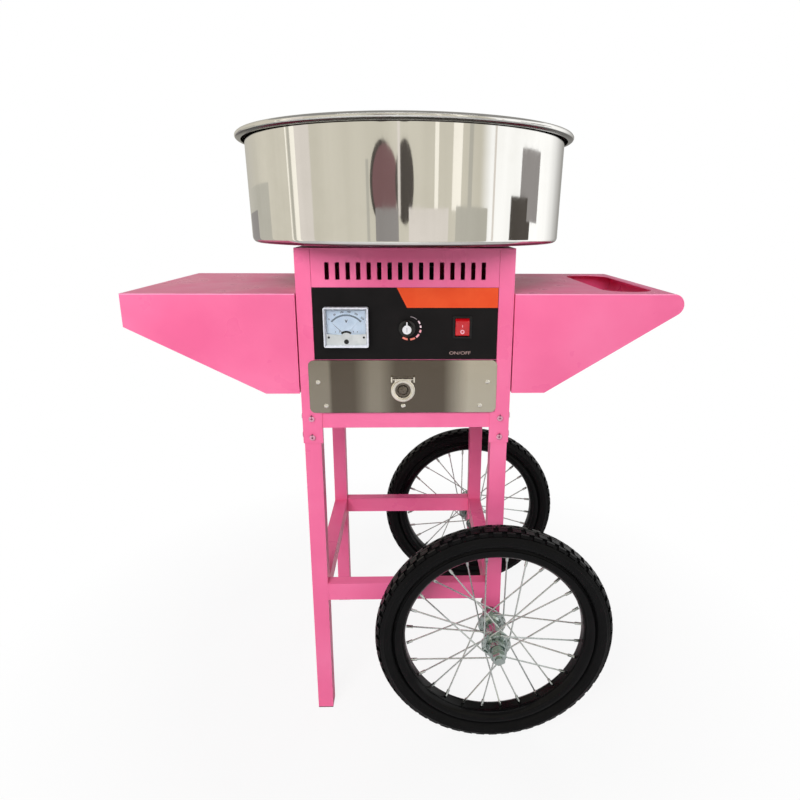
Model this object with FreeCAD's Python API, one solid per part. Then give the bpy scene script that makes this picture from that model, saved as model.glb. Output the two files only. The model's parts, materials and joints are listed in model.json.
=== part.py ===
import FreeCAD, Part
import math
import os

# Cotton candy machine on a two-wheel cart, in millimetres.
# X runs to the right, Y to the back and Z up. The origin is on the ground under
# the middle of the cabinet, which is the middle of the whole machine's box.

V = FreeCAD.Vector
X_AXIS = V(1, 0, 0)
Y_AXIS = V(0, 1, 0)
Z_AXIS = V(0, 0, 1)

# Fits
seam = 0.4                  # gap between neighbouring sheet edges
running_gap = 0.3           # gap between a moving piece and what it passes
shaft_clearance = 0.05      # radial, shaft in its hole
bolt_clearance = 0.1        # radial, bolt in its hole

# Cabinet
cabinet_width = 310.0
cabinet_depth = 325.0
cabinet_height = 241.3      # above the tops of the legs
panel_sheet = 1.2
post_sheet = 1.5
top_sheet = 1.5
deck_sheet = 1.5
post_face = 22.0            # width of a post beside the panels
post_return = 10.5          # inward fold along a post's free edges
bracket_face = 29.5         # width of a post where it is bolted to a leg
post_overlap = 47.7         # how far the posts reach down over the legs
panel_fold = 12.0           # inward fold along a panel's side edges

# Legs and rails
leg_side = 25.0
leg_wall = 1.5
deck_height = 536.7         # tops of the legs and upper rails
upper_rail_height = 23.7
rail_depth = 20.0
side_rail_width = 25.0
lower_rail_rise = 57.0      # above the axles
lower_rail_height = 30.0
rail_wall = 1.2
right_leg_drop = 19.0       # below the axles
plug_flange = 1.5
plug_depth = 15.0
plug_clearance = 0.2

# Bolts through posts and legs
bolt_radius = 2.5
bolt_head_radius = 4.5
bolt_head_height = 2.8
bolt_length = 8.0
upper_bolt_drop = 8.3       # below the tops of the legs
lower_bolt_drop = 37.7

# Wheels
wheel_radius = 187.0
axle_inset = 4.0            # from the right legs' middle towards the cabinet's
axle_radius = 5.95
hub_length = 100.0
hub_barrel_radius = 12.0
hub_flange_radius = 22.5
hub_flange_thickness = 3.0
hub_flange_offset = 24.0    # flange middle from the wheel's plane
hub_flare = 3.0             # barrel and cup widen over this length
hub_cup_step = 2.0
hub_cup_radius = 14.0
hub_cup_end = 43.0
hub_cone_radius = 9.5
leg_washer_thickness = 2.0
end_washer_thickness = 1.5
washer_radius = 12.0
nut_across_flats = 18.0
nut_height = 7.0
axle_stub = 3.0             # thread past each nut
tyre_height = 31.0
rim_height = 16.0
rim_slope = 0.7             # how much the rim's sides lean
rim_sheet = 1.5
rim_floor_half_width = 8.0
rim_half_width = 16.5
tyre_half_width = 21.0
tyre_fit = 0.25             # gap between tyre and rim
tyre_widest = 0.4           # share of the tyre's height
tread_shoulder = 0.82
tread_width = 0.8           # share of the tyre's width
spoke_count = 28
spoke_crossings = 3
spoke_radius = 1.15
spoke_circle_radius = 19.5
spoke_hole_radius = 1.35
nipple_radius = 2.2
nipple_length = 11.0
nipple_gap = 0.5            # nipple to the rim's inner face
spoke_bend_extra = 0.1      # ball that rounds each bend, over the wire's radius
spoke_head_radius = 1.5
spoke_head_thickness = 0.8

# Bowl
bowl_height = 157.0
bowl_rim_radius = 260.0
bowl_bottom_radius = 243.0
bowl_top_radius = 246.0
bowl_wall = 1.0
bowl_corner = 10.0
bowl_bead = 5.0
bowl_flare = 13.0
collar_radius = 76.0
collar_height = 22.0
cushion_height = 4.0
cushion_width = 14.0
cushion_offset = 12.0       # cushion's inner edge outside the collar

# Spinner head and its drive
spindle_radius = 5.95
spindle_end = 2.0           # above the dish's inside
head_radius = 62.0
head_height = 38.0          # head's underside above the bowl's floor
head_plate = 3.0
head_lip = 4.0
head_boss_radius = 14.0
head_boss_length = 16.0
head_boss_flare = 2.0
head_lip_ease = 0.5         # the lip is this much thinner than the plate
band_height = 24.0
band_inset = 3.4
band_wall = 0.6
band_slot_count = 40
band_slot_width = 1.2
band_slot_margin = 1.0      # slot to the dish's lip
band_slot_top = 3.0
cover_thickness = 2.5
cover_edge = 0.8
cover_lead_in = 4.0         # the mouth's sloping edge
cover_lead_depth = 2.0
mouth_radius = 20.0
mouth_depth = 8.0
head_post_radius = 3.0
head_post_inset = 7.5       # posts' circle inside the heater
head_post_count = 3
heater_gap = 2.5            # heater to band
heater_split = 6.0
heater_thickness = 1.2
heater_height = 15.0
heater_lift = 4.0
spindle_hole_radius = 20.0
motor_radius = 46.0
motor_wall = 2.5
motor_length = 102.0
motor_flange_side = 104.0
motor_flange_thickness = 3.0
mount_length = 31.5
mount_radius = 9.0
mount_offset = 41.0
mount_stud_radius = 2.5
bearing_radius = 16.0
bearing_width = 9.0
bearing_lip = 0.5           # seat's overlap with the flange
flange_clearance = 2.0      # flange hole round the spindle
rotor_radius = 36.0
rotor_length = 50.0
sleeve_radius = 12.0
sleeve_length = 24.0
slip_ring_radius = 15.0
slip_ring_height = 6.0
slip_ring_spacing = 11.0
brush_side = 5.0
brush_reach = 5.0
brush_block_length = 20.0
brush_block_width = 24.0

# Front panel and controls
vent_count = 16
vent_pitch = 14.7
vent_width = 6.2
vent_drop = 43.8            # foot of the vents below the cabinet's top
vent_height = 24.2
back_vent_lift = 6.0        # the back's vents above the front's
plate_lift = 0.9            # above the panel's lower edge
plate_height = 104.2
plate_thickness = 0.8
plate_side_gap = 0.2
meter_inset = 48.3          # from the left post
meter_rise = 48.3           # above the plate's lower edge
meter_width = 63.4
meter_height = 57.0
meter_depth = 9.0
meter_base = 2.5
meter_corner = 2.0
meter_can_radius = 22.0
meter_can_depth = 26.0
meter_cover_wall = 1.2
dial_thickness = 0.6
dial_margin = 3.0
needle_pivot_drop = 14.1    # below the meter's middle
needle_length = 27.0
needle_width = 0.9
needle_tip_width = 0.2
needle_thickness = 0.6
needle_rest_angle = 45.0    # from upright, to the left
needle_hub_radius = 2.6
dial_stud_reach = 1.8
knob_x = 1.9
knob_rise = 46.2            # above the plate's lower edge
knob_skirt_radius = 12.5
knob_skirt_height = 4.0
knob_cap_radius = 6.5
knob_height = 15.0
knob_edge = 1.0
pointer_width = 3.0
pointer_margin = 1.5        # pointer to the skirt's edge
pointer_sink = 0.5
knob_shaft_radius = 3.0
regulator_width = 28.0
regulator_depth = 18.0
regulator_bushing_radius = 4.5
switch_inset = 51.4         # from the right post
switch_rise = 47.3          # above the plate's lower edge
switch_bezel_width = 27.5
switch_bezel_height = 32.2
switch_bezel_thickness = 2.0
switch_body_width = 24.0
switch_body_height = 29.6
switch_body_depth = 22.0
switch_wall = 1.3
switch_corner = 2.0
switch_pin_radius = 1.5
rocker_width = 20.2
rocker_radius = 13.2
rocker_pivot_depth = 5.3    # pivot behind the bezel's face
rocker_half_throw = 7.0
rocker_valley = 7.0
rocker_end_angle = 52
rocker_back_angle = 108

# Drawer
drawer_x = -4.2
drawer_margin = 33.6        # cabinet's width less the drawer front's
drawer_plate_lift = 1.3     # above the tops of the legs
drawer_plate_height = 80.0
drawer_plate_thickness = 1.5
drawer_corner = 8.0
tray_inset = 10.2           # drawer front's end to the tray's side
tray_lift = 1.8             # above the deck
tray_height = 72.0
tray_rear_gap = 18.3        # tray to the inlet
tray_wall = 1.0
runner_height = 22.0
runner_sheet = 1.2
runner_base_width = 12.0
rivet_radius = 1.6
rivet_head_radius = 3.3
rivet_head_height = 1.4
rivet_high_rise = 47.2      # above the drawer front's lower edge
rivet_low_rise = 10.6
rivet_high_inset = 3.2      # from the tray's side
rivet_low_inset = 14.0
pull_x = -4.4
pull_cup_rise = 35.3        # above the drawer front's lower edge
pull_plate_thickness = 1.5
pull_plate_radius = 15.0
pull_ear_width = 35.0
pull_ear_height = 8.0
pull_hinge_rise = 16.7      # above the cup's middle
pull_neck_rise = 4.0        # neck above the hinge
pull_ring_radius = 18.0
pull_hole_radius = 10.8
pull_ring_thickness = 3.6
pull_cup_radius = 8.0
pull_cup_height = 4.0
pull_dome_shoulder = 0.75   # where the dome turns over, share of its radius
pull_dome_rise = 0.8
pull_pin_radius = 1.0
pull_lug_thickness = 2.0
pull_lug_wall = 1.0         # lug in front of the pin
pull_bar_width = 24.0

# Shelves
shelf_length = 247.0
shelf_drop = 63.5           # shelf tops below the cabinet's top
shelf_height = 147.1
shelf_flat = 51.0           # flat bottom from the cabinet to the knee
left_end_height = 47.5
right_nose_radius = 16.0
shelf_sheet = 1.5
shelf_gap = 0.8             # shelf to cabinet side, filled by washers
shelf_flange = 16.0
bin_width = 76.0
bin_end_margin = 28.0
bin_front_margin = 27.0
bin_back_margin = 27.0
bin_corner = 35.0
shelf_bolt_radius = 3.0
shelf_bolt_head_radius = 5.5
shelf_bolt_head_height = 3.5
shelf_bolt_inset = 45.0
shelf_bolt_tail = 2.0       # thread past each nut
bin_wall_weld = 0.6         # how far the bin's wall sinks into the slope

# Power inlet on the back
inlet_inset = 75.0          # from the cabinet's right side
inlet_rise = 36.8           # above the deck
inlet_width = 30.0
inlet_height = 24.0
inlet_flange = 4.0
inlet_depth = 24.0
inlet_wall = 2.0
pin_width = 2.0
pin_height = 4.0
pin_length = 14.0
pin_spread = 7.0
pin_low = -2.0
pin_high = 4.0

# Worked out from the sizes above
side_x = cabinet_width / 2
front_y = -cabinet_depth / 2
back_y = cabinet_depth / 2
cabinet_top = deck_height + cabinet_height
body_top = cabinet_top - top_sheet
deck_top = deck_height + deck_sheet
bracket_top = deck_top + seam
panel_foot = bracket_top + seam
post_bottom = deck_height - post_overlap
upper_bolt_height = deck_height - upper_bolt_drop
lower_bolt_height = deck_height - lower_bolt_drop
post_inner_x = side_x - post_face
post_inner_y = back_y - post_face
leg_outer_x = side_x - post_sheet
leg_outer_y = back_y - post_sheet
leg_x = leg_outer_x - leg_side / 2
leg_y = leg_outer_y - leg_side / 2
leg_inner_x = leg_outer_x - leg_side
leg_inner_y = leg_outer_y - leg_side
axle_x = leg_x - axle_inset
axle_z = wheel_radius
right_leg_bottom = axle_z - right_leg_drop
lower_rail_top = axle_z + lower_rail_rise
wheel_y = leg_outer_y + leg_washer_thickness + hub_length / 2
axle_bore = axle_radius + shaft_clearance
rim_edge_radius = wheel_radius - tyre_height
rim_inner_radius = rim_edge_radius - rim_height
rim_shoulder = rim_inner_radius + (rim_half_width - rim_floor_half_width) * rim_slope
drawer_plate_width = cabinet_width - drawer_margin
drawer_plate_bottom = deck_height + drawer_plate_lift
drawer_plate_top = drawer_plate_bottom + drawer_plate_height
drawer_plate_back = front_y - running_gap
drawer_plate_front = drawer_plate_back - drawer_plate_thickness
tray_width = drawer_plate_width - 2 * tray_inset
tray_bottom = deck_top + tray_lift
tray_back = back_y + inlet_wall - inlet_depth - tray_rear_gap
rivet_high = drawer_plate_bottom + rivet_high_rise
rivet_low = drawer_plate_bottom + rivet_low_rise
rivet_high_offset = tray_width / 2 - rivet_high_inset
rivet_low_offset = tray_width / 2 - rivet_low_inset
pull_cup_z = drawer_plate_bottom + pull_cup_rise
pull_hinge_z = pull_cup_z + pull_hinge_rise
panel_bottom = drawer_plate_top + seam
plate_front_y = front_y - plate_thickness
plate_bottom = panel_bottom + plate_lift
vent_bottom = cabinet_top - vent_drop
meter_x = meter_inset - post_inner_x
meter_z = plate_bottom + meter_rise
needle_pivot_z = meter_z - needle_pivot_drop
knob_z = plate_bottom + knob_rise
switch_x = post_inner_x - switch_inset
switch_z = plate_bottom + switch_rise
shelf_reach = side_x + shelf_length
shelf_knee = side_x + shelf_flat
shelf_top = cabinet_top - shelf_drop
shelf_bottom = shelf_top - shelf_height
left_end_bottom = shelf_top - left_end_height
bin_outer_x = shelf_reach - bin_end_margin
bin_inner_x = bin_outer_x - bin_width
inlet_x = side_x - inlet_inset
inlet_z = deck_top + inlet_rise
bowl_floor = cabinet_top + cushion_height
spindle_bore = spindle_radius + shaft_clearance
head_bottom = bowl_floor + head_height
head_inside = head_bottom + head_plate
band_radius = head_radius - band_inset
heater_radius = band_radius - band_wall - heater_gap
head_post_circle = heater_radius - head_post_inset
cover_bottom = head_inside + band_height + running_gap
motor_top = body_top - mount_length
motor_bottom = motor_top - motor_length


def box(x0, x1, y0, y1, z0, z1):
    return Part.makeBox(x1 - x0, y1 - y0, z1 - z0, V(x0, y0, z0))


def rod(radius, start, end):
    along = end - start
    return Part.makeCylinder(radius, along.Length, start, along)


def sleeve(outer, inner, start, end):
    return rod(outer, start, end).cut(rod(inner, start, end))


def joined(shapes):
    first = shapes[0]
    if len(shapes) == 1:
        return first
    return first.fuse(shapes[1:]).removeSplitter()


def flipped_x(shape):
    return shape.mirror(V(0, 0, 0), X_AXIS)


def flipped_y(shape):
    return shape.mirror(V(0, 0, 0), Y_AXIS)


def wire(place, steps):
    # A step is a point (a, b), or an arc (middle a, middle b, end a, end b).
    edges = []
    last = place(*steps[0])
    for step in steps[1:] + [steps[0]]:
        end = place(*step[-2:])
        if len(step) == 4:
            edges.append(Part.Arc(last, place(*step[:2]), end).toShape())
        elif end.distanceToPoint(last) > 1e-6:
            edges.append(Part.LineSegment(last, end).toShape())
        last = end
    return Part.Wire(edges)


def slab(place, steps, along):
    return Part.Face(wire(place, steps)).extrude(along)


def turned(steps, centre, axis):
    # Steps are (radius, distance along the axis) pairs.
    face = Part.Face(wire(lambda r, h: centre + X_AXIS * r + axis * h, steps))
    return face.revolve(centre, axis, 360)


def rounded_steps(a0, a1, b0, b1, radius):
    k = radius * (1 - math.sqrt(0.5))
    return [
        (a0 + radius, b0), (a1 - radius, b0),
        (a1 - k, b0 + k, a1, b0 + radius), (a1, b1 - radius),
        (a1 - k, b1 - k, a1 - radius, b1), (a0 + radius, b1),
        (a0 + k, b1 - k, a0, b1 - radius), (a0, b0 + radius),
        (a0 + k, b0 + k, a0 + radius, b0),
    ]


def rounded_front(x0, x1, z0, z1, radius, y0, y1):
    # A plate that faces the front, with rounded corners.
    return slab(lambda x, z: V(x, y0, z), rounded_steps(x0, x1, z0, z1, radius), Y_AXIS * (y1 - y0))


def hex_nut(across_flats, start, end, bore):
    along = end - start
    side = V(0, 0, 1) if abs(along.z) < 1e-6 else V(1, 0, 0)
    other = along.cross(side)
    other.normalize()
    corner = across_flats / math.sqrt(3)
    points = []
    for i in range(6):
        angle = math.radians(60 * i)
        points.append(start + side * (corner * math.cos(angle)) + other * (corner * math.sin(angle)))
    nut = Part.Face(Part.makePolygon(points + points[:1])).extrude(along)
    return nut.cut(rod(bore, start, end)) if bore else nut


def square_tube(x0, x1, y0, y1, z0, z1, wall, along):
    in_x = 0 if along == "x" else wall
    in_y = 0 if along == "y" else wall
    in_z = 0 if along == "z" else wall
    inside = box(x0 + in_x, x1 - in_x, y0 + in_y, y1 - in_y, z0 + in_z, z1 - in_z)
    return box(x0, x1, y0, y1, z0, z1).cut(inside)


# ---- Frame: legs, rails, plugs and bolts

def corner_bolt_ends(sign_x, sign_y):
    # Outer end and direction of each bolt that holds a post to its leg.
    ends = []
    for height in (upper_bolt_height, lower_bolt_height):
        ends.append((V(sign_x * leg_x, sign_y * back_y, height), Y_AXIS * -sign_y))
        ends.append((V(sign_x * side_x, sign_y * leg_y, height), X_AXIS * -sign_x))
    return ends


def bolt_holes(sign_x, sign_y):
    hole = bolt_radius + bolt_clearance
    return [rod(hole, end, end + inward * bolt_length) for end, inward in corner_bolt_ends(sign_x, sign_y)]


def leg(sign_x, sign_y):
    bottom = plug_flange if sign_x < 0 else right_leg_bottom
    x0 = leg_inner_x if sign_x > 0 else -leg_outer_x
    y0 = leg_inner_y if sign_y > 0 else -leg_outer_y
    tube = square_tube(x0, x0 + leg_side, y0, y0 + leg_side, bottom, deck_height, leg_wall, "z")
    tube = tube.cut(bolt_holes(sign_x, sign_y))
    if sign_x > 0:
        start = V(axle_x, y0 - 1, axle_z)
        tube = tube.cut(rod(axle_radius + bolt_clearance, start, start + Y_AXIS * (leg_side + 2)))
    return tube


def foot_plugs():
    plugs = []
    half = leg_side / 2
    inner = half - leg_wall - plug_clearance
    for y in (-leg_y, leg_y):
        flange = box(-leg_x - half, -leg_x + half, y - half, y + half, 0, plug_flange)
        body = box(-leg_x - inner, -leg_x + inner, y - inner, y + inner, 0, plug_depth)
        plugs.append(flange.fuse(body).removeSplitter())
    return Part.makeCompound(plugs)


def cross_rail(sign_y, top, height):
    y0 = leg_outer_y - rail_depth if sign_y > 0 else -leg_outer_y
    return square_tube(-leg_inner_x, leg_inner_x, y0, y0 + rail_depth, top - height, top, rail_wall, "x")


def side_rail(sign_x, top, height):
    x0 = leg_outer_x - side_rail_width if sign_x > 0 else -leg_outer_x
    return square_tube(x0, x0 + side_rail_width, -leg_inner_y, leg_inner_y, top - height, top, rail_wall, "y")


def frame_bolts():
    bolts = []
    for sign_x in (-1, 1):
        for sign_y in (-1, 1):
            for end, inward in corner_bolt_ends(sign_x, sign_y):
                shank = rod(bolt_radius, end, end + inward * bolt_length)
                head = rod(bolt_head_radius, end - inward * bolt_head_height, end)
                head = head.makeFillet(bolt_head_height / 3, [head.Edges[0]])
                bolts.append(head.fuse(shank))
    return Part.makeCompound(bolts)


# ---- Cabinet: posts, panels, deck and top

def corner_post():
    # The front left post, drawn from above: a face each way with its edges folded in.
    def place(x, y):
        return V(x, y, 0)

    x0 = -side_x
    y0 = front_y
    s = post_sheet
    upper = [
        (x0, y0), (x0 + post_face, y0), (x0 + post_face, y0 + s + post_return),
        (x0 + post_face - s, y0 + s + post_return), (x0 + post_face - s, y0 + s), (x0 + s, y0 + s),
        (x0 + s, y0 + post_face - s), (x0 + s + post_return, y0 + post_face - s),
        (x0 + s + post_return, y0 + post_face), (x0, y0 + post_face),
    ]
    lower = [
        (x0, y0), (x0 + bracket_face, y0), (x0 + bracket_face, y0 + s), (x0 + s, y0 + s),
        (x0 + s, y0 + bracket_face), (x0, y0 + bracket_face),
    ]
    upper_part = slab(place, upper, Z_AXIS * (body_top - bracket_top)).translated(Z_AXIS * bracket_top)
    lower_part = slab(place, lower, Z_AXIS * (bracket_top - post_bottom)).translated(Z_AXIS * post_bottom)
    return upper_part.fuse(lower_part).removeSplitter().cut(bolt_holes(-1, -1))


def front_posts():
    post = corner_post()
    return Part.makeCompound([post, flipped_x(post)])


def back_posts():
    post = flipped_y(corner_post())
    return Part.makeCompound([post, flipped_x(post)])


def vent_slots(y0, y1, foot):
    slots = []
    first = -vent_pitch * (vent_count - 1) / 2
    for i in range(vent_count):
        x = first + i * vent_pitch
        slots.append(rounded_front(x - vent_width / 2, x + vent_width / 2, foot, foot + vent_height,
                                   vent_width / 6, y0, y1))
    return slots


def folded_panel(half_width, z0, z1):
    # A sheet that faces the front at y = front_y, with both side edges folded back.
    sheet = box(-half_width, half_width, front_y, front_y + panel_sheet, z0, z1)
    left = box(-half_width, -half_width + panel_sheet, front_y, front_y + panel_fold, z0, z1)
    right = box(half_width - panel_sheet, half_width, front_y, front_y + panel_fold, z0, z1)
    return joined([sheet, left, right])


def front_panel():
    panel = folded_panel(post_inner_x - seam, panel_bottom, body_top)
    through = panel_sheet + 1
    cuts = vent_slots(front_y - 1, front_y + through, vent_bottom)
    for x, z, radius in ((meter_x, meter_z, meter_can_radius), (knob_x, knob_z, regulator_bushing_radius)):
        start = V(x, front_y - 1, z)
        cuts.append(rod(radius + bolt_clearance, start, start + Y_AXIS * (through + 1)))
    cuts.append(switch_cutout(front_y - 1, front_y + through))
    return panel.cut(cuts)


def back_panel():
    panel = folded_panel(post_inner_x - seam, panel_foot, body_top)
    cuts = vent_slots(front_y - 1, front_y + panel_sheet + 1, vent_bottom + back_vent_lift)
    # Seen from the back the panel is turned round, so the inlet's side changes over.
    half_width = inlet_width / 2 + bolt_clearance
    half_height = inlet_height / 2 + bolt_clearance
    cuts.append(box(-inlet_x - half_width, -inlet_x + half_width, front_y - 1, front_y + panel_sheet + 1,
                    inlet_z - half_height, inlet_z + half_height))
    panel = panel.cut(cuts)
    panel.rotate(V(0, 0, 0), Z_AXIS, 180)
    return panel


def shelf_bolt_places():
    low = shelf_bottom + shelf_flange / 2
    high = shelf_top - shelf_flange / 2
    return [(y, z) for y in (-post_inner_y + shelf_bolt_inset, post_inner_y - shelf_bolt_inset)
            for z in (low, high)]


def shelf_bolt_holes(sign_x):
    hole = shelf_bolt_radius + bolt_clearance
    start_x = sign_x * (side_x - panel_sheet - 1)
    end_x = sign_x * (side_x + shelf_gap + shelf_sheet + 1)
    return [rod(hole, V(start_x, y, z), V(end_x, y, z)) for y, z in shelf_bolt_places()]


def side_panel(sign_x):
    half = post_inner_y - seam
    z0 = panel_foot
    sheet = box(-side_x, -side_x + panel_sheet, -half, half, z0, body_top)
    fold_end = -side_x + panel_fold
    front = box(-side_x, fold_end, -half, -half + panel_sheet, z0, body_top)
    back = box(-side_x, fold_end, half - panel_sheet, half, z0, body_top)
    panel = joined([sheet, front, back]).cut(shelf_bolt_holes(-1))
    return panel if sign_x < 0 else flipped_x(panel)


def cabinet_floor():
    return box(-leg_outer_x + seam, leg_outer_x - seam, -leg_outer_y + seam, leg_outer_y - seam,
               deck_height, deck_top)


def cabinet_top_plate():
    plate = box(-side_x, side_x, front_y, back_y, body_top, cabinet_top)
    plate = plate.cut(rod(spindle_hole_radius, V(0, 0, body_top - 1), V(0, 0, cabinet_top + 1)))
    studs = [rod(mount_stud_radius + bolt_clearance, V(x, y, body_top - 1), V(x, y, cabinet_top + 1))
             for x in (-mount_offset, mount_offset) for y in (-mount_offset, mount_offset)]
    return plate.cut(studs)


def power_inlet():
    # A recessed three-pin inlet; the lead's plug goes into its well.
    half_w = inlet_width / 2
    half_h = inlet_height / 2
    face_y = back_y + inlet_wall
    flange = rounded_front(inlet_x - half_w - inlet_flange, inlet_x + half_w + inlet_flange,
                           inlet_z - half_h - inlet_flange, inlet_z + half_h + inlet_flange,
                           inlet_flange, back_y, face_y)
    body = box(inlet_x - half_w, inlet_x + half_w, face_y - inlet_depth, face_y, inlet_z - half_h, inlet_z + half_h)
    well = box(inlet_x - half_w + inlet_wall, inlet_x + half_w - inlet_wall, face_y - inlet_depth + inlet_wall,
               face_y + 1, inlet_z - half_h + inlet_wall, inlet_z + half_h - inlet_wall)
    pins = []
    pin_root = face_y - inlet_depth + inlet_wall
    for dx, dz in ((-pin_spread, pin_low), (0, pin_high), (pin_spread, pin_low)):
        x = inlet_x + dx
        z = inlet_z + dz
        pins.append(box(x - pin_width / 2, x + pin_width / 2, pin_root - inlet_wall / 2, pin_root + pin_length,
                        z - pin_height / 2, z + pin_height / 2))
    return flange.fuse(body).cut(well).fuse(pins).removeSplitter()


# ---- Controls

def switch_cutout(y0, y1):
    half_w = switch_body_width / 2 + bolt_clearance
    half_h = switch_body_height / 2 + bolt_clearance
    return box(switch_x - half_w, switch_x + half_w, y0, y1, switch_z - half_h, switch_z + half_h)


def control_plate():
    half = post_inner_x - seam - plate_side_gap
    plate = box(-half, half, plate_front_y, front_y, plate_bottom, plate_bottom + plate_height)
    cuts = [switch_cutout(plate_front_y - 1, front_y + 1)]
    for x, z, radius in ((meter_x, meter_z, meter_can_radius), (knob_x, knob_z, regulator_bushing_radius)):
        start = V(x, plate_front_y - 1, z)
        cuts.append(rod(radius + bolt_clearance, start, start + Y_AXIS * (plate_thickness + 2)))
    return plate.cut(cuts)


def meter_case():
    base = rounded_front(meter_x - meter_width / 2, meter_x + meter_width / 2, meter_z - meter_height / 2,
                         meter_z + meter_height / 2, meter_corner, plate_front_y - meter_base, plate_front_y)
    can_start = V(meter_x, plate_front_y, meter_z)
    return base.fuse(rod(meter_can_radius, can_start, can_start + Y_AXIS * meter_can_depth))


def dial_front():
    return plate_front_y - meter_base - dial_thickness


def meter_dial():
    x0 = meter_x - meter_width / 2 + dial_margin
    x1 = meter_x + meter_width / 2 - dial_margin
    z0 = meter_z - meter_height / 2 + dial_margin
    z1 = meter_z + meter_height / 2 - dial_margin
    dial = box(x0, x1, dial_front(), plate_front_y - meter_base, z0, z1)
    lower = plate_front_y - meter_base
    pivot = V(meter_x, lower - dial_stud_reach, needle_pivot_z)
    return dial.fuse(rod(needle_hub_radius / 2, pivot, V(meter_x, lower, needle_pivot_z)))


def meter_needle():
    y1 = dial_front() - running_gap
    y0 = y1 - needle_thickness
    blade = slab(lambda x, z: V(meter_x + x, y0, needle_pivot_z + z),
                 [(-needle_width / 2, 0), (needle_width / 2, 0), (needle_tip_width / 2, needle_length),
                  (-needle_tip_width / 2, needle_length)],
                 Y_AXIS * needle_thickness)
    hub = rod(needle_hub_radius, V(meter_x, y0, needle_pivot_z), V(meter_x, y1, needle_pivot_z))
    needle = blade.fuse(hub)
    bore = needle_hub_radius / 2 + shaft_clearance
    needle = needle.cut(rod(bore, V(meter_x, y0 - 1, needle_pivot_z), V(meter_x, y1 + 1, needle_pivot_z)))
    needle.rotate(V(meter_x, 0, needle_pivot_z), Y_AXIS, -needle_rest_angle)
    return needle


def meter_cover():
    back = plate_front_y - meter_base
    front = back - meter_depth
    half_w = meter_width / 2
    half_h = meter_height / 2
    w = meter_cover_wall
    outside = rounded_front(meter_x - half_w, meter_x + half_w, meter_z - half_h, meter_z + half_h, meter_corner,
                            front, back)
    inside = box(meter_x - half_w + w, meter_x + half_w - w, front + w, back + 1,
                 meter_z - half_h + w, meter_z + half_h - w)
    return outside.cut(inside)


def heat_knob():
    back = V(knob_x, plate_front_y - running_gap, knob_z)
    outward = Y_AXIS * -1
    e = knob_edge
    skirt_steps = [(0, 0), (knob_skirt_radius, 0), (knob_skirt_radius, knob_skirt_height - e),
                   (knob_skirt_radius - e, knob_skirt_height), (knob_cap_radius, knob_skirt_height),
                   (knob_cap_radius, knob_height - e), (knob_cap_radius - e, knob_height), (0, knob_height)]
    knob = turned(skirt_steps, back, outward)
    pointer = box(knob_x - pointer_width / 2, knob_x + pointer_width / 2, back.y - knob_height + e,
                  back.y - knob_skirt_height + pointer_sink, knob_z, knob_z + knob_skirt_radius - pointer_margin)
    shaft = rod(knob_shaft_radius, V(knob_x, back.y - 1, knob_z),
                V(knob_x, front_y + panel_sheet + regulator_depth / 2, knob_z))
    return knob.fuse([pointer, shaft]).removeSplitter()


def heat_regulator():
    face = front_y + panel_sheet
    half = regulator_width / 2
    body = rounded_front(knob_x - half, knob_x + half, knob_z - half, knob_z + half, half / 3, face,
                         face + regulator_depth)
    bushing = rod(regulator_bushing_radius, V(knob_x, plate_front_y, knob_z), V(knob_x, face + 1, knob_z))
    bore_end = face + regulator_depth / 2 + running_gap
    bore = rod(knob_shaft_radius + shaft_clearance, V(knob_x, plate_front_y - 1, knob_z),
               V(knob_x, bore_end, knob_z))
    return body.fuse(bushing).cut(bore)


def rocker_pivot():
    return V(switch_x, plate_front_y - switch_bezel_thickness + rocker_pivot_depth, switch_z)


def switch_body():
    front = plate_front_y - switch_bezel_thickness
    half_w = switch_bezel_width / 2
    half_h = switch_bezel_height / 2
    bezel = rounded_front(switch_x - half_w, switch_x + half_w, switch_z - half_h, switch_z + half_h,
                          switch_corner, front, plate_front_y)
    body_w = switch_body_width / 2
    body_h = switch_body_height / 2
    body = box(switch_x - body_w, switch_x + body_w, plate_front_y, front + switch_body_depth,
               switch_z - body_h, switch_z + body_h)
    well_w = rocker_width / 2 + running_gap
    well_h = rocker_radius + running_gap
    well = box(switch_x - well_w, switch_x + well_w, front - 1, front + switch_body_depth - switch_wall,
               switch_z - well_h, switch_z + well_h)
    pin = rod(switch_pin_radius, rocker_pivot() - X_AXIS * body_w, rocker_pivot() + X_AXIS * body_w)
    return bezel.fuse(body).cut(well).fuse(pin).removeSplitter()


def switch_rocker():
    # The ends are round about the pivot, so that the rocker clears its well as it tips.
    pivot = rocker_pivot()
    end_angle = math.radians(rocker_end_angle)
    back_angle = math.radians(rocker_back_angle)
    r = rocker_radius

    def place(out, up):
        return V(switch_x - rocker_width / 2, pivot.y - out, pivot.z + up)

    def on_end(angle, sign):
        return (r * math.cos(angle), sign * r * math.sin(angle))

    middle = (end_angle + back_angle) / 2
    steps = [(rocker_valley, 0), on_end(end_angle, 1), on_end(middle, 1) + on_end(back_angle, 1),
             on_end(back_angle, -1), on_end(middle, -1) + on_end(end_angle, -1)]
    rocker = slab(place, steps, X_AXIS * rocker_width)
    bore = switch_pin_radius + shaft_clearance
    rocker = rocker.cut(rod(bore, pivot - X_AXIS * rocker_width, pivot + X_AXIS * rocker_width))
    rocker.rotate(pivot, X_AXIS, rocker_half_throw)
    return rocker


# ---- Drawer

def drawer_rivet_places():
    return [(-rivet_high_offset, rivet_high), (rivet_high_offset, rivet_high), (-rivet_low_offset, rivet_low),
            (rivet_low_offset, rivet_low), (0.0, rivet_low)]


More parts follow.
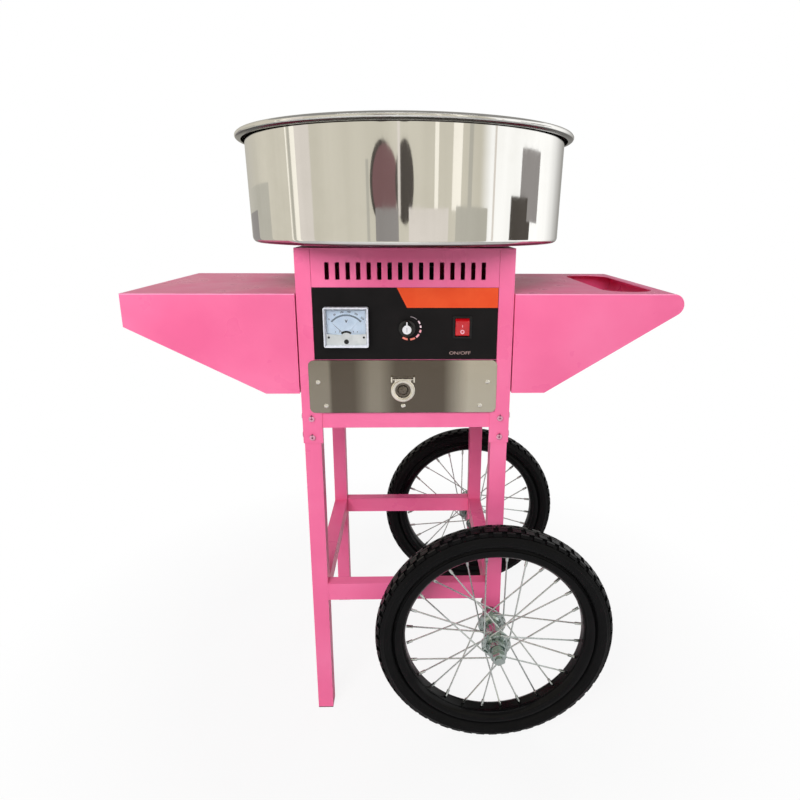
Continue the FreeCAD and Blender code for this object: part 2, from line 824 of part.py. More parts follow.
def drawer_rivets(radius, head):
    rivets = []
    for dx, z in drawer_rivet_places():
        inner = V(drawer_x + dx, drawer_plate_back + tray_wall, z)
        outer = V(drawer_x + dx, drawer_plate_front, z)
        shank = rod(radius, outer, inner)
        if head:
            dome_radius = (rivet_head_radius ** 2 + rivet_head_height ** 2) / (2 * rivet_head_height)
            ball = Part.makeSphere(dome_radius, outer + Y_AXIS * (dome_radius - rivet_head_height))
            r = dome_radius
            near = box(outer.x - r, outer.x + r, outer.y - r, outer.y, z - r, z + r)
            shank = shank.fuse(ball.common(near))
        rivets.append(shank)
    return rivets


def drawer_front():
    half = drawer_plate_width / 2
    plate = rounded_front(drawer_x - half, drawer_x + half, drawer_plate_bottom,
                          drawer_plate_bottom + drawer_plate_height, drawer_corner,
                          drawer_plate_front, drawer_plate_back)
    return plate.cut(drawer_rivets(rivet_radius + bolt_clearance, False))


def drawer_tray():
    x0 = drawer_x - tray_width / 2
    x1 = drawer_x + tray_width / 2
    y0 = drawer_plate_back
    z1 = tray_bottom + tray_height
    w = tray_wall
    inside = box(x0 + w, x1 - w, y0 + w, tray_back - w, tray_bottom + w, z1 + 1)
    tray = box(x0, x1, y0, tray_back, tray_bottom, z1).cut(inside)
    return tray.cut(drawer_rivets(rivet_radius + bolt_clearance, False))


def drawer_runners():
    # Angles that stand on the deck, one under each side of the tray.
    runners = []
    y0 = front_y + panel_fold + post_sheet
    y1 = tray_back
    base_top = tray_bottom - running_gap
    for sign in (-1, 1):
        inner = drawer_x + sign * (tray_width / 2 - runner_base_width)
        web_inner = drawer_x + sign * (tray_width / 2 + seam)
        web_outer = web_inner + sign * runner_sheet
        base = box(min(inner, web_outer), max(inner, web_outer), y0, y1, deck_top, base_top)
        web = box(min(web_inner, web_outer), max(web_inner, web_outer), y0, y1, deck_top, deck_top + runner_height)
        runners.append(base.fuse(web).removeSplitter())
    return Part.makeCompound(runners)


def pull_hinge_y():
    return drawer_plate_front - pull_plate_thickness - running_gap - pull_ring_thickness / 2


def pull_base():
    back = drawer_plate_front
    front = back - pull_plate_thickness
    plate = rod(pull_plate_radius, V(pull_x, front, pull_cup_z), V(pull_x, back, pull_cup_z))
    neck = box(pull_x - pull_plate_radius, pull_x + pull_plate_radius, front, back, pull_cup_z,
               pull_hinge_z + pull_neck_rise)
    hinge_front = pull_hinge_y() - pull_pin_radius - pull_lug_wall
    lugs = []
    for sign in (-1, 1):
        outer = pull_x + sign * pull_ear_width / 2
        inner = outer - sign * pull_lug_thickness
        x0 = min(outer, inner)
        x1 = max(outer, inner)
        lugs.append(box(x0, x1, hinge_front, back, pull_hinge_z - pull_ear_height / 2,
                        pull_hinge_z + pull_ear_height / 2))
        ear = box(min(outer, pull_x), max(outer, pull_x), front, back, pull_hinge_z - pull_ear_height / 2,
                  pull_hinge_z + pull_ear_height / 2)
        lugs.append(ear)
    dome_steps = [(0, 0), (pull_cup_radius, 0), (pull_cup_radius * pull_dome_shoulder,
                                                 pull_cup_height * pull_dome_rise, 0, pull_cup_height)]
    dome = turned(dome_steps, V(pull_x, front, pull_cup_z), Y_AXIS * -1)
    pin_half = pull_ear_width / 2 - pull_lug_thickness / 2
    pin = rod(pull_pin_radius, V(pull_x - pin_half, pull_hinge_y(), pull_hinge_z),
              V(pull_x + pin_half, pull_hinge_y(), pull_hinge_z))
    return plate.fuse([neck, dome, pin] + lugs).removeSplitter()


def pull_ring():
    y0 = pull_hinge_y() - pull_ring_thickness / 2
    y1 = y0 + pull_ring_thickness
    ring = rod(pull_ring_radius, V(pull_x, y0, pull_cup_z), V(pull_x, y1, pull_cup_z))
    half_bar = pull_bar_width / 2
    bridge = box(pull_x - half_bar, pull_x + half_bar, y0, y1, pull_cup_z + pull_hole_radius,
                 pull_hinge_z)
    barrel = rod(pull_ring_thickness / 2, V(pull_x - half_bar, pull_hinge_y(), pull_hinge_z),
                 V(pull_x + half_bar, pull_hinge_y(), pull_hinge_z))
    keep = box(pull_x - pull_ring_radius, pull_x + pull_ring_radius, y0 - 1, y1 + 1,
               pull_cup_z - pull_ring_radius, pull_hinge_z - pull_pin_radius)
    solid = ring.common(keep).fuse([bridge, barrel])
    hole = rod(pull_hole_radius, V(pull_x, y0 - 1, pull_cup_z), V(pull_x, y1 + 1, pull_cup_z))
    pin_hole = rod(pull_pin_radius + shaft_clearance, V(pull_x - half_bar - 1, pull_hinge_y(), pull_hinge_z),
                   V(pull_x + half_bar + 1, pull_hinge_y(), pull_hinge_z))
    return solid.cut([hole, pin_hole])


# ---- Shelves

def hung_shelf(outline, remove_x):
    # A folded sheet box that is open towards the cabinet, with a flange round the opening.
    solid = slab(lambda x, z: V(x, front_y, z), outline, Y_AXIS * cabinet_depth)
    open_face = min(solid.Faces, key=lambda f: abs(f.CenterOfMass.x - remove_x))
    shell = solid.makeThickness([open_face], -shelf_sheet, 1e-3)
    x0 = min(remove_x, remove_x + math.copysign(shelf_sheet, remove_x))
    flange = box(x0, x0 + shelf_sheet, front_y, back_y, shelf_bottom, shelf_top)
    gap = box(x0 - 1, x0 + shelf_sheet + 1, front_y + shelf_flange, back_y - shelf_flange,
              shelf_bottom + shelf_flange, shelf_top - shelf_flange)
    return shell.fuse(flange.cut(gap)).removeSplitter()


def left_shelf():
    inner = -side_x - shelf_gap
    outline = [(inner, shelf_bottom), (inner, shelf_top), (-shelf_reach, shelf_top),
               (-shelf_reach, left_end_bottom), (-shelf_knee, shelf_bottom)]
    return hung_shelf(outline, inner).cut(shelf_bolt_holes(-1))


def nose_centre():
    # The nose rounds the corner between the flat top and the sloping bottom.
    x = shelf_reach - right_nose_radius
    return x, shelf_top - right_nose_radius


def slope_touch():
    # Where the line from the knee touches the nose from below.
    cx, cz = nose_centre()
    dx = cx - shelf_knee
    dz = cz - shelf_bottom
    reach = math.hypot(dx, dz)
    angle = math.atan2(dz, dx) - math.asin(right_nose_radius / reach)
    return cx + right_nose_radius * math.sin(angle), cz - right_nose_radius * math.cos(angle)


def right_shelf():
    inner = side_x + shelf_gap
    cx, cz = nose_centre()
    touch_x, touch_z = slope_touch()
    outline = [(inner, shelf_top), (inner, shelf_bottom), (shelf_knee, shelf_bottom), (touch_x, touch_z),
               (cx + right_nose_radius, cz, cx, shelf_top)]
    shelf = hung_shelf(outline, inner)
    mouth = slab(lambda x, y: V(x, y, shelf_top - shelf_sheet - 1),
                 rounded_steps(bin_inner_x, bin_outer_x, front_y + bin_front_margin, back_y - bin_back_margin,
                               bin_corner), Z_AXIS * (shelf_sheet + 2))
    wall_x0 = bin_inner_x - 2 * shelf_sheet
    wall_x1 = bin_inner_x - shelf_sheet
    slope = (touch_z - shelf_bottom) / (touch_x - shelf_knee)
    wall_foot = shelf_bottom + slope * (wall_x1 - shelf_knee) + shelf_sheet / math.cos(math.atan(slope))
    wall_foot -= bin_wall_weld
    wall = box(wall_x0, wall_x1, front_y + shelf_sheet / 2, back_y - shelf_sheet / 2, wall_foot,
               shelf_top - shelf_sheet / 2)
    return shelf.cut(mouth).fuse(wall).removeSplitter().cut(shelf_bolt_holes(1))


def shelf_bolts():
    pieces = []
    for sign in (-1, 1):
        for y, z in shelf_bolt_places():
            inside = V(sign * (side_x - panel_sheet), y, z)
            outside = V(sign * (side_x + shelf_gap + shelf_sheet), y, z)
            outward = X_AXIS * sign
            head = rod(shelf_bolt_head_radius, inside - outward * shelf_bolt_head_height, inside)
            shank = rod(shelf_bolt_radius, inside, outside + outward * (shelf_bolt_head_height + shelf_bolt_tail))
            pieces.append(head.fuse(shank).removeSplitter())
            bore = shelf_bolt_radius + bolt_clearance
            pieces.append(hex_nut(2 * shelf_bolt_head_radius - 1, outside,
                                  outside + outward * shelf_bolt_head_height, bore))
            washer_start = V(sign * side_x, y, z)
            pieces.append(sleeve(shelf_bolt_head_radius, bore, washer_start, washer_start + outward * shelf_gap))
    return Part.makeCompound(pieces)


# ---- Wheels

def wheel_centre(sign_y):
    return V(axle_x, sign_y * wheel_y, axle_z)


def rim(sign_y):
    t = rim_sheet
    half = rim_half_width
    floor = rim_floor_half_width
    r0 = rim_inner_radius
    r1 = rim_edge_radius
    shoulder = rim_shoulder
    steps = [(r0, -floor), (r0, floor), (shoulder, half), (r1, half), (r1, half - t), (shoulder + t / 2, half - t),
             (r0 + t, floor - t / 2), (r0 + t, -floor + t / 2), (shoulder + t / 2, -half + t), (r1, -half + t),
             (r1, -half), (shoulder, -half)]
    return turned(steps, wheel_centre(sign_y), Y_AXIS)


def tyre(sign_y):
    g = tyre_fit
    t = rim_sheet
    half = rim_half_width
    floor = rim_floor_half_width
    r0 = rim_inner_radius
    r1 = rim_edge_radius
    shoulder = rim_shoulder
    widest = r1 + tyre_height * tyre_widest
    tread = r1 + tyre_height * tread_shoulder
    w = tyre_half_width
    steps = [
        (r0 + t + g, -floor + t), (r0 + t + g, floor - t), (shoulder + t / 2 + g, half - t - g), (r1 + g, half - t - g),
        (r1 + g, half), (widest, w, tread, w * tread_width), (wheel_radius, 0, tread, -w * tread_width),
        (widest, -w, r1 + g, -half),
        (r1 + g, -half + t + g), (shoulder + t / 2 + g, -half + t + g),
    ]
    return turned(steps, wheel_centre(sign_y), Y_AXIS)


def spoke_ends():
    # Each entry: flange side, which face of the flange, angle at the flange and angle at the rim.
    per_flange = spoke_count // 2
    pairs = per_flange // 2
    pitch = 360.0 / per_flange
    sweep = spoke_crossings * pitch
    ends = []
    for flange in (-1, 1):
        turn = pitch / 4 * flange
        for i in range(pairs):
            leading = 2 * i * pitch + turn
            trailing = leading + pitch
            ends.append((flange, 1, leading, leading + sweep))
            ends.append((flange, -1, trailing, trailing - sweep))
    return ends


def hub(sign_y):
    f = hub_flange_offset
    half_flange = hub_flange_thickness / 2
    half_length = hub_length / 2
    outer = [(hub_barrel_radius, 0), (hub_barrel_radius, f - half_flange - hub_flare),
             (hub_barrel_radius + hub_flare, f - half_flange), (hub_flange_radius, f - half_flange),
             (hub_flange_radius, f + half_flange), (hub_cup_radius + hub_cup_step, f + half_flange),
             (hub_cup_radius, f + half_flange + hub_flare), (hub_cup_radius, hub_cup_end),
             (hub_cone_radius, hub_cup_end), (hub_cone_radius, half_length), (axle_bore, half_length), (axle_bore, 0)]
    centre = wheel_centre(sign_y)
    half_hub = turned(outer, centre, Y_AXIS)
    body = half_hub.fuse(turned([(r, -h) for r, h in outer], centre, Y_AXIS)).removeSplitter()
    holes = []
    for flange, _, angle, _ in spoke_ends():
        a = math.radians(angle)
        spot = centre + V(spoke_circle_radius * math.cos(a), flange * f, spoke_circle_radius * math.sin(a))
        reach = Y_AXIS * (half_flange + 1)
        holes.append(rod(spoke_hole_radius, spot - reach, spot + reach))
    return body.cut(holes)


def spokes(sign_y):
    centre = wheel_centre(sign_y)
    half_flange = hub_flange_thickness / 2
    beside = half_flange + spoke_head_thickness + spoke_radius + 2 * bolt_clearance
    rim_radius = rim_inner_radius - nipple_gap
    pieces = []
    for flange, side, hub_angle, rim_angle in spoke_ends():
        a = math.radians(hub_angle)
        b = math.radians(rim_angle)
        bend = centre + V(spoke_circle_radius * math.cos(a), flange * hub_flange_offset + side * beside,
                          spoke_circle_radius * math.sin(a))
        tip = centre + V(rim_radius * math.cos(b), 0, rim_radius * math.sin(b))
        # The wire lies along the flange to its edge, and only then runs in to the rim.
        sweep = abs(b - a)
        flat = math.hypot(rim_radius * math.cos(sweep) - spoke_circle_radius, rim_radius * math.sin(sweep))
        lean = (rim_radius * math.cos(sweep) - spoke_circle_radius) / flat
        clear_radius = hub_flange_radius + spoke_radius
        along_flange = (math.sqrt(clear_radius ** 2 - spoke_circle_radius ** 2 * (1 - lean ** 2))
                        - spoke_circle_radius * lean)
        flat_way = V(tip.x - bend.x, 0, tip.z - bend.z)
        flat_way.normalize()
        edge = bend + flat_way * along_flange
        along = tip - edge
        along.normalize()
        wire_part = rod(spoke_radius, edge, tip - along * nipple_radius)
        flange_part = rod(spoke_radius, bend, edge)
        balls = [Part.makeSphere(spoke_radius + spoke_bend_extra, spot) for spot in (bend, edge)]
        nipple = rod(nipple_radius, tip - along * nipple_length, tip - along * nipple_radius * 0.5)
        elbow_end = bend - Y_AXIS * side * (beside + half_flange + bolt_clearance)
        elbow = rod(spoke_radius, bend, elbow_end)
        head = rod(spoke_head_radius, elbow_end, elbow_end - Y_AXIS * side * spoke_head_thickness)
        spoke = wire_part.fuse(nipple)
        for run in (balls[1], flange_part, balls[0], elbow.fuse(head)):
            spoke = spoke.fuse(run)
        pieces.append(spoke.removeSplitter())
    return Part.makeCompound(pieces)


def axle_ends():
    # Distances from the machine's middle plane along the axle, from its inner to its outer end.
    inner_nut = leg_inner_y - end_washer_thickness
    outer_washer = wheel_y + hub_length / 2
    outer_nut = outer_washer + end_washer_thickness
    return inner_nut, outer_washer, outer_nut


def axles():
    inner_nut, _, outer_nut = axle_ends()
    pieces = []
    for sign in (-1, 1):
        start = V(axle_x, sign * (inner_nut - nut_height - axle_stub), axle_z)
        end = V(axle_x, sign * (outer_nut + nut_height + axle_stub), axle_z)
        pieces.append(rod(axle_radius, start, end))
    return Part.makeCompound(pieces)


def axle_nuts():
    inner_nut, outer_washer, outer_nut = axle_ends()
    pieces = []
    bore = axle_radius + shaft_clearance
    for sign in (-1, 1):
        def spot(distance):
            return V(axle_x, sign * distance, axle_z)

        pieces.append(hex_nut(nut_across_flats, spot(inner_nut - nut_height), spot(inner_nut), bore))
        pieces.append(sleeve(washer_radius, bore, spot(inner_nut), spot(leg_inner_y)))
        pieces.append(sleeve(washer_radius, bore, spot(leg_outer_y), spot(leg_outer_y + leg_washer_thickness)))
        pieces.append(sleeve(washer_radius, bore, spot(outer_washer), spot(outer_nut)))
        pieces.append(hex_nut(nut_across_flats, spot(outer_nut), spot(outer_nut + nut_height), bore))
    return Part.makeCompound(pieces)


# ---- Bowl and spinner

def bowl():
    base = V(0, 0, bowl_floor)
    w = bowl_wall
    c = bowl_corner
    k = math.sqrt(0.5)
    bead_height = bowl_height - bowl_bead
    bead_centre = bowl_rim_radius - bowl_bead
    flare_end = bead_centre - bowl_bead + w
    flare_start = bead_height - bowl_flare
    ri = bowl_bottom_radius
    steps = [
        (collar_radius, 0), (ri - c, 0), (ri - c + c * k, c - c * k, ri, c), (bowl_top_radius, flare_start),
        (flare_end, bead_height - w / 2), (flare_end, bead_height + w / 2), (bowl_top_radius - w, flare_start + w / 2),
        (ri - w, c), (ri - c + (c - w) * k, c - (c - w) * k, ri - c, w), (collar_radius + w, w),
        (collar_radius + w, collar_height), (collar_radius, collar_height),
    ]
    pan = turned(steps, base, Z_AXIS)
    bead = Part.makeTorus(bead_centre, bowl_bead, base + Z_AXIS * bead_height, Z_AXIS)
    return pan.fuse(bead)


def bowl_cushion():
    inner = collar_radius + cushion_offset
    return sleeve(inner + cushion_width, inner, V(0, 0, cabinet_top), V(0, 0, bowl_floor))


def head_dish():
    base = V(0, 0, head_bottom)
    lip_inner = head_radius - head_plate + head_lip_ease
    steps = [(spindle_bore, -head_boss_length), (head_boss_radius, -head_boss_length),
             (head_boss_radius, -head_boss_flare), (head_boss_radius + head_boss_flare, 0), (head_radius, 0),
             (head_radius, head_plate + head_lip), (lip_inner, head_plate + head_lip), (lip_inner, head_plate),
             (spindle_bore, head_plate)]
    return turned(steps, base, Z_AXIS)


def floss_band():
    outer = band_radius
    bottom = V(0, 0, head_inside)
    top = V(0, 0, head_inside + band_height)
    band = sleeve(outer, outer - band_wall, bottom, top)
    slot = box(outer - band_wall - 1, outer + 1, -band_slot_width / 2, band_slot_width / 2,
               head_inside + head_lip + band_slot_margin, head_inside + band_height - band_slot_top)
    slots = []
    for i in range(band_slot_count):
        turned_slot = slot.copy()
        turned_slot.rotate(V(0, 0, 0), Z_AXIS, 360.0 * i / band_slot_count)
        slots.append(turned_slot)
    return band.cut(slots)


def head_cover():
    base = V(0, 0, cover_bottom)
    t = cover_thickness
    steps = [(mouth_radius, -mouth_depth), (mouth_radius + t, -mouth_depth), (mouth_radius + t, 0), (head_radius, 0),
             (head_radius, t - cover_edge), (head_radius - cover_edge, t), (mouth_radius + cover_lead_in, t),
             (mouth_radius, t - cover_lead_depth)]
    cover = turned(steps, base, Z_AXIS)
    posts = []
    for i in range(head_post_count):
        angle = 2 * math.pi * i / head_post_count
        spot = V(head_post_circle * math.cos(angle), head_post_circle * math.sin(angle), head_inside)
        posts.append(rod(head_post_radius, spot, V(spot.x, spot.y, cover_bottom + t / 2)))
    return cover.fuse(posts)


def heating_element():
    # A ribbon bent to a ring, with a strip down from each end to the dish.
    bottom = head_inside + heater_lift
    top = bottom + heater_height
    t = heater_thickness
    half = heater_split / 2
    inner = heater_radius - t
    ring = sleeve(heater_radius, inner, V(0, 0, bottom), V(0, 0, top))
    gap = box(0, heater_radius + 1, -half, half, bottom - 1, top + 1)
    strips = []
    for y in (-half - t, half):
        strips.append(box(inner - 1, inner, y, y + t, head_inside, top))
        strips.append(box(inner - 1, inner + t / 2, y, y + t, bottom, top))
    return ring.cut(gap).fuse(strips).removeSplitter()


def spindle():
    return rod(spindle_radius, V(0, 0, motor_bottom + motor_wall + running_gap), V(0, 0, head_inside + spindle_end))


def motor_housing():
    start = V(0, 0, motor_bottom)
    end = V(0, 0, motor_top - motor_flange_thickness)
    can = sleeve(motor_radius, motor_radius - motor_wall, start, end)
    floor_plate = rod(motor_radius, start, start + Z_AXIS * motor_wall)
    seat_low = sleeve(bearing_radius + motor_wall, bearing_radius, start, start + Z_AXIS * (motor_wall + bearing_width))
    half = motor_flange_side / 2
    flange = box(-half, half, -half, half, motor_top - motor_flange_thickness, motor_top)
    seat_high = sleeve(bearing_radius + motor_wall, bearing_radius,
                       end - Z_AXIS * bearing_width, end + Z_AXIS * bearing_lip)
    housing = can.fuse([floor_plate, flange, seat_low, seat_high]).removeSplitter()
    holes = [rod(spindle_radius + flange_clearance, end - Z_AXIS, end + Z_AXIS * (motor_flange_thickness + 1))]
    for x in (-mount_offset, mount_offset):
        for y in (-mount_offset, mount_offset):
            holes.append(rod(mount_stud_radius + bolt_clearance, V(x, y, end.z - 1), V(x, y, motor_top + 1)))
    return housing.cut(holes)


def motor_bearings():
    low = V(0, 0, motor_bottom + motor_wall)
    high = V(0, 0, motor_top - motor_flange_thickness - bearing_width)
    return Part.makeCompound([sleeve(bearing_radius, spindle_bore, spot, spot + Z_AXIS * bearing_width)
                              for spot in (low, high)])


def motor_rotor():
    middle = motor_bottom + motor_length / 2
    half = rotor_length / 2
    return sleeve(rotor_radius, spindle_bore, V(0, 0, middle - half), V(0, 0, middle + half))


def motor_mounts():
    pieces = []
    for x in (-mount_offset, mount_offset):
        for y in (-mount_offset, mount_offset):
            block = rod(mount_radius, V(x, y, motor_top), V(x, y, body_top))
            stud = rod(mount_stud_radius, V(x, y, motor_top - motor_flange_thickness), V(x, y, cabinet_top))
            pieces.append(block.fuse(stud).removeSplitter())
    return Part.makeCompound(pieces)


def slip_ring_heights():
    middle = (motor_top + body_top) / 2
    return middle - slip_ring_spacing / 2, middle + slip_ring_spacing / 2


def slip_rings():
    middle = (motor_top + body_top) / 2
    half = sleeve_length / 2
    pieces = [sleeve(sleeve_radius, spindle_bore, V(0, 0, middle - half), V(0, 0, middle + half))]
    for z in slip_ring_heights():
        bottom = V(0, 0, z - slip_ring_height / 2)
        pieces.append(sleeve(slip_ring_radius, sleeve_radius, bottom, bottom + Z_AXIS * slip_ring_height))
    return Part.makeCompound(pieces)


def brush_block():
    half_width = brush_block_width / 2
    near = slip_ring_radius + brush_reach
    top = slip_ring_heights()[1] + slip_ring_height
    block = box(near, near + brush_block_length, -half_width, half_width, motor_top, top)
    pieces = [block]
    half = brush_side / 2
    tip = slip_ring_radius + running_gap
    for z in slip_ring_heights():
        pieces.append(box(tip, near, -half, half, z - half, z + half))
    return Part.makeCompound(pieces)


def pair(piece, *sizes):
    return Part.makeCompound([piece(-1, *sizes), piece(1, *sizes)])


nodes = {
    "front_left_leg": lambda: leg(-1, -1),
    "back_left_leg": lambda: leg(-1, 1),
    "front_right_leg": lambda: leg(1, -1),
    "back_right_leg": lambda: leg(1, 1),
    "foot_plugs": foot_plugs,
    "upper_cross_rails": lambda: pair(cross_rail, deck_height, upper_rail_height),
    "upper_side_rails": lambda: pair(side_rail, deck_height, upper_rail_height),
    "lower_front_rail": lambda: cross_rail(-1, lower_rail_top, lower_rail_height),
    "lower_back_rail": lambda: cross_rail(1, lower_rail_top, lower_rail_height),
    "lower_side_rails": lambda: pair(side_rail, lower_rail_top, lower_rail_height),
    "frame_bolts": frame_bolts,
    "front_posts": front_posts,
    "back_posts": back_posts,
    "front_panel": front_panel,
    "side_panels": lambda: pair(side_panel),
    "back_panel": back_panel,
    "cabinet_floor": cabinet_floor,
    "cabinet_top": cabinet_top_plate,
    "power_inlet": power_inlet,
    "control_plate": control_plate,
    "meter_case": meter_case,
    "meter_dial": meter_dial,
    "meter_needle": meter_needle,
    "meter_cover": meter_cover,
    "heat_knob": heat_knob,
    "heat_regulator": heat_regulator,
    "switch_body": switch_body,
    "switch_rocker": switch_rocker,
    "drawer_front": drawer_front,
    "drawer_tray": drawer_tray,
    "drawer_rivets": lambda: Part.makeCompound(drawer_rivets(rivet_radius, True)),
    "drawer_runners": drawer_runners,
    "pull_base": pull_base,
    "pull_ring": pull_ring,
    "left_shelf": left_shelf,
    "right_shelf": right_shelf,
    "shelf_bolts": shelf_bolts,
    "axles": axles,
    "axle_nuts": axle_nuts,
    "bowl": bowl,
    "bowl_cushion": bowl_cushion,
    "head_dish": head_dish,
    "head_cover": head_cover,
    "floss_band": floss_band,
    "heating_element": heating_element,
    "spindle": spindle,
    "slip_rings": slip_rings,
    "brush_block": brush_block,
    "motor_housing": motor_housing,
    "motor_bearings": motor_bearings,
    "motor_rotor": motor_rotor,
    "motor_mounts": motor_mounts,
}
for wheel_name, wheel_sign in (("front", -1), ("back", 1)):
    nodes[wheel_name + "_tyre"] = lambda sign=wheel_sign: tyre(sign)
    nodes[wheel_name + "_rim"] = lambda sign=wheel_sign: rim(sign)
    nodes[wheel_name + "_spokes"] = lambda sign=wheel_sign: spokes(sign)
    nodes[wheel_name + "_hub"] = lambda sign=wheel_sign: hub(sign)

os.makedirs("parts", exist_ok=True)
for node_name, make_shape in nodes.items():
    shape = make_shape()
    if not shape.isValid():
        raise ValueError(node_name + " is not a valid shape")
    shape.exportStep("parts/" + node_name + ".step")
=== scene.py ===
import bpy
import json
import math
from mathutils import Matrix, Vector

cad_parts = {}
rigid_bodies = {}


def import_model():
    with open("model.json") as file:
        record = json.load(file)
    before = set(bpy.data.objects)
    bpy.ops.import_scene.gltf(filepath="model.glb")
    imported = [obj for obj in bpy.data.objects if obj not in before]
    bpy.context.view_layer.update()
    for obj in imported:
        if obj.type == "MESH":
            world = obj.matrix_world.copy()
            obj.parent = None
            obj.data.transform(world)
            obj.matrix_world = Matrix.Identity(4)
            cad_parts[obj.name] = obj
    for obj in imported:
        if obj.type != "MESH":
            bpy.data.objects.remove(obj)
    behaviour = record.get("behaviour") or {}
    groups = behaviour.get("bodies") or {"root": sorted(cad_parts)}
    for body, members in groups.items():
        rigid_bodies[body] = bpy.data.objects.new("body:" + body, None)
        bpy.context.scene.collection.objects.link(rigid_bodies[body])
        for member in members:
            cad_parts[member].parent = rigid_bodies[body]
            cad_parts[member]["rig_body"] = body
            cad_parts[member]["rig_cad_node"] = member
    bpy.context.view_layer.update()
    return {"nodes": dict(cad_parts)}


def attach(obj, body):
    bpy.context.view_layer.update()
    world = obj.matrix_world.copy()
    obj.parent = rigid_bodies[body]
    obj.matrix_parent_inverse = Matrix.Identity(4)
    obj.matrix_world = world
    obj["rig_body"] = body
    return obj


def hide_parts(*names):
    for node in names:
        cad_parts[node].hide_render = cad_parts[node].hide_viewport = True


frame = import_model()
cad = frame["nodes"]
millimetre = 0.001


def clearSelection():
    if bpy.context.object and bpy.context.object.mode != "OBJECT":
        bpy.ops.object.mode_set(mode="OBJECT")
    bpy.ops.object.select_all(action="DESELECT")


def pick(obj):
    clearSelection()
    obj.select_set(True)
    bpy.context.view_layer.objects.active = obj


def edit(obj, kind="VERT"):
    pick(obj)
    bpy.ops.object.mode_set(mode="EDIT")
    bpy.ops.mesh.select_mode(type=kind)
    bpy.ops.mesh.select_all(action="DESELECT")


def leaveEdit():
    bpy.ops.object.mode_set(mode="OBJECT")


def selectFaces(obj, wanted):
    # Works in object mode; the edit mode that follows shows the choice.
    edit(obj, "FACE")
    leaveEdit()
    for face in obj.data.polygons:
        face.select = bool(wanted(face.center, face.normal))
    bpy.ops.object.mode_set(mode="EDIT")


def selectPoints(obj, wanted):
    edit(obj)
    leaveEdit()
    for vertex in obj.data.vertices:
        vertex.select = bool(wanted(vertex.co))
    bpy.ops.object.mode_set(mode="EDIT")


def bakeModifiers(obj):
    pick(obj)
    for modifier in list(obj.modifiers):
        bpy.ops.object.modifier_apply(modifier=modifier.name)


def shadeByAngle(obj, angle=32):
    pick(obj)
    bpy.ops.object.shade_smooth_by_angle(angle=math.radians(angle))


def fixPlace(obj):
    pick(obj)
    bpy.ops.object.transform_apply(location=True, rotation=True, scale=True)


def joinPieces(pieces, name):
    clearSelection()
    for piece in pieces:
        piece.select_set(True)
    bpy.context.view_layer.objects.active = pieces[0]
    if len(pieces) > 1:
        bpy.ops.object.join()
    bpy.context.object.name = name
    return bpy.context.object


def tidyMesh(obj, merge=1e-6):
    edit(obj)
    bpy.ops.mesh.select_all(action="SELECT")
    bpy.ops.mesh.remove_doubles(threshold=merge)
    bpy.ops.mesh.normals_make_consistent(inside=False)
    leaveEdit()


def finished(obj, name, body, material, nodes=()):
    fixPlace(obj)
    obj.name = name
    obj.data.name = name
    obj.data.materials.clear()
    obj.data.materials.append(material)
    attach(obj, body)
    if nodes:
        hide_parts(*nodes)
    return obj


def spunProfile(profile, centre, axis, steps, closed):
    # Profile points are (radius, distance along the axis), drawn by extruding one point.
    clearSelection()
    bpy.ops.mesh.primitive_plane_add(size=1)
    obj = bpy.context.object
    place = {"Z": lambda r, h: Vector((r, 0, h)), "Y": lambda r, h: Vector((r, h, 0)),
             "X": lambda r, h: Vector((h, r, 0))}[axis]
    bpy.ops.object.mode_set(mode="EDIT")
    bpy.ops.mesh.select_all(action="SELECT")
    bpy.ops.mesh.merge(type="CENTER")
    spot = Vector(centre) + place(*profile[0])
    bpy.ops.transform.translate(value=spot)
    for step in profile[1:]:
        target = Vector(centre) + place(*step)
        bpy.ops.mesh.extrude_region_move(TRANSFORM_OT_translate={"value": target - spot})
        spot = target
    bpy.ops.mesh.select_all(action="SELECT")
    if closed:
        bpy.ops.mesh.remove_doubles(threshold=1e-7)
        bpy.ops.mesh.select_all(action="SELECT")
    turn = {"Z": (0, 0, 1), "Y": (0, 1, 0), "X": (1, 0, 0)}[axis]
    bpy.ops.mesh.spin(steps=steps, angle=2 * math.pi, center=centre, axis=turn)
    leaveEdit()
    tidyMesh(obj)
    return obj


def softCopy(node, bevel=0.0, segments=2, smooth=32, corner=40):
    # A merged copy of a CAD node, with its sharp edges eased.
    pick(cad[node])
    bpy.ops.object.duplicate()
    obj = bpy.context.object
    bpy.ops.object.parent_clear(type="CLEAR_KEEP_TRANSFORM")
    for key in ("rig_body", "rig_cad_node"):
        if key in obj:
            del obj[key]
    edit(obj)
    bpy.ops.mesh.select_all(action="SELECT")
    bpy.ops.mesh.remove_doubles(threshold=2e-6)
    bpy.ops.mesh.dissolve_limited(angle_limit=math.radians(0.4))
    leaveEdit()
    if bevel:
        rounding = obj.modifiers.new("rounding", "BEVEL")
        rounding.width = bevel * millimetre
        rounding.segments = segments
        rounding.limit_method = "ANGLE"
        rounding.angle_limit = math.radians(corner)
        rounding.miter_outer = "MITER_ARC"
        bakeModifiers(obj)
    shadeByAngle(obj, smooth)
    if bevel:
        weights = obj.modifiers.new("weights", "WEIGHTED_NORMAL")
        weights.keep_sharp = True
        bakeModifiers(obj)
    return obj


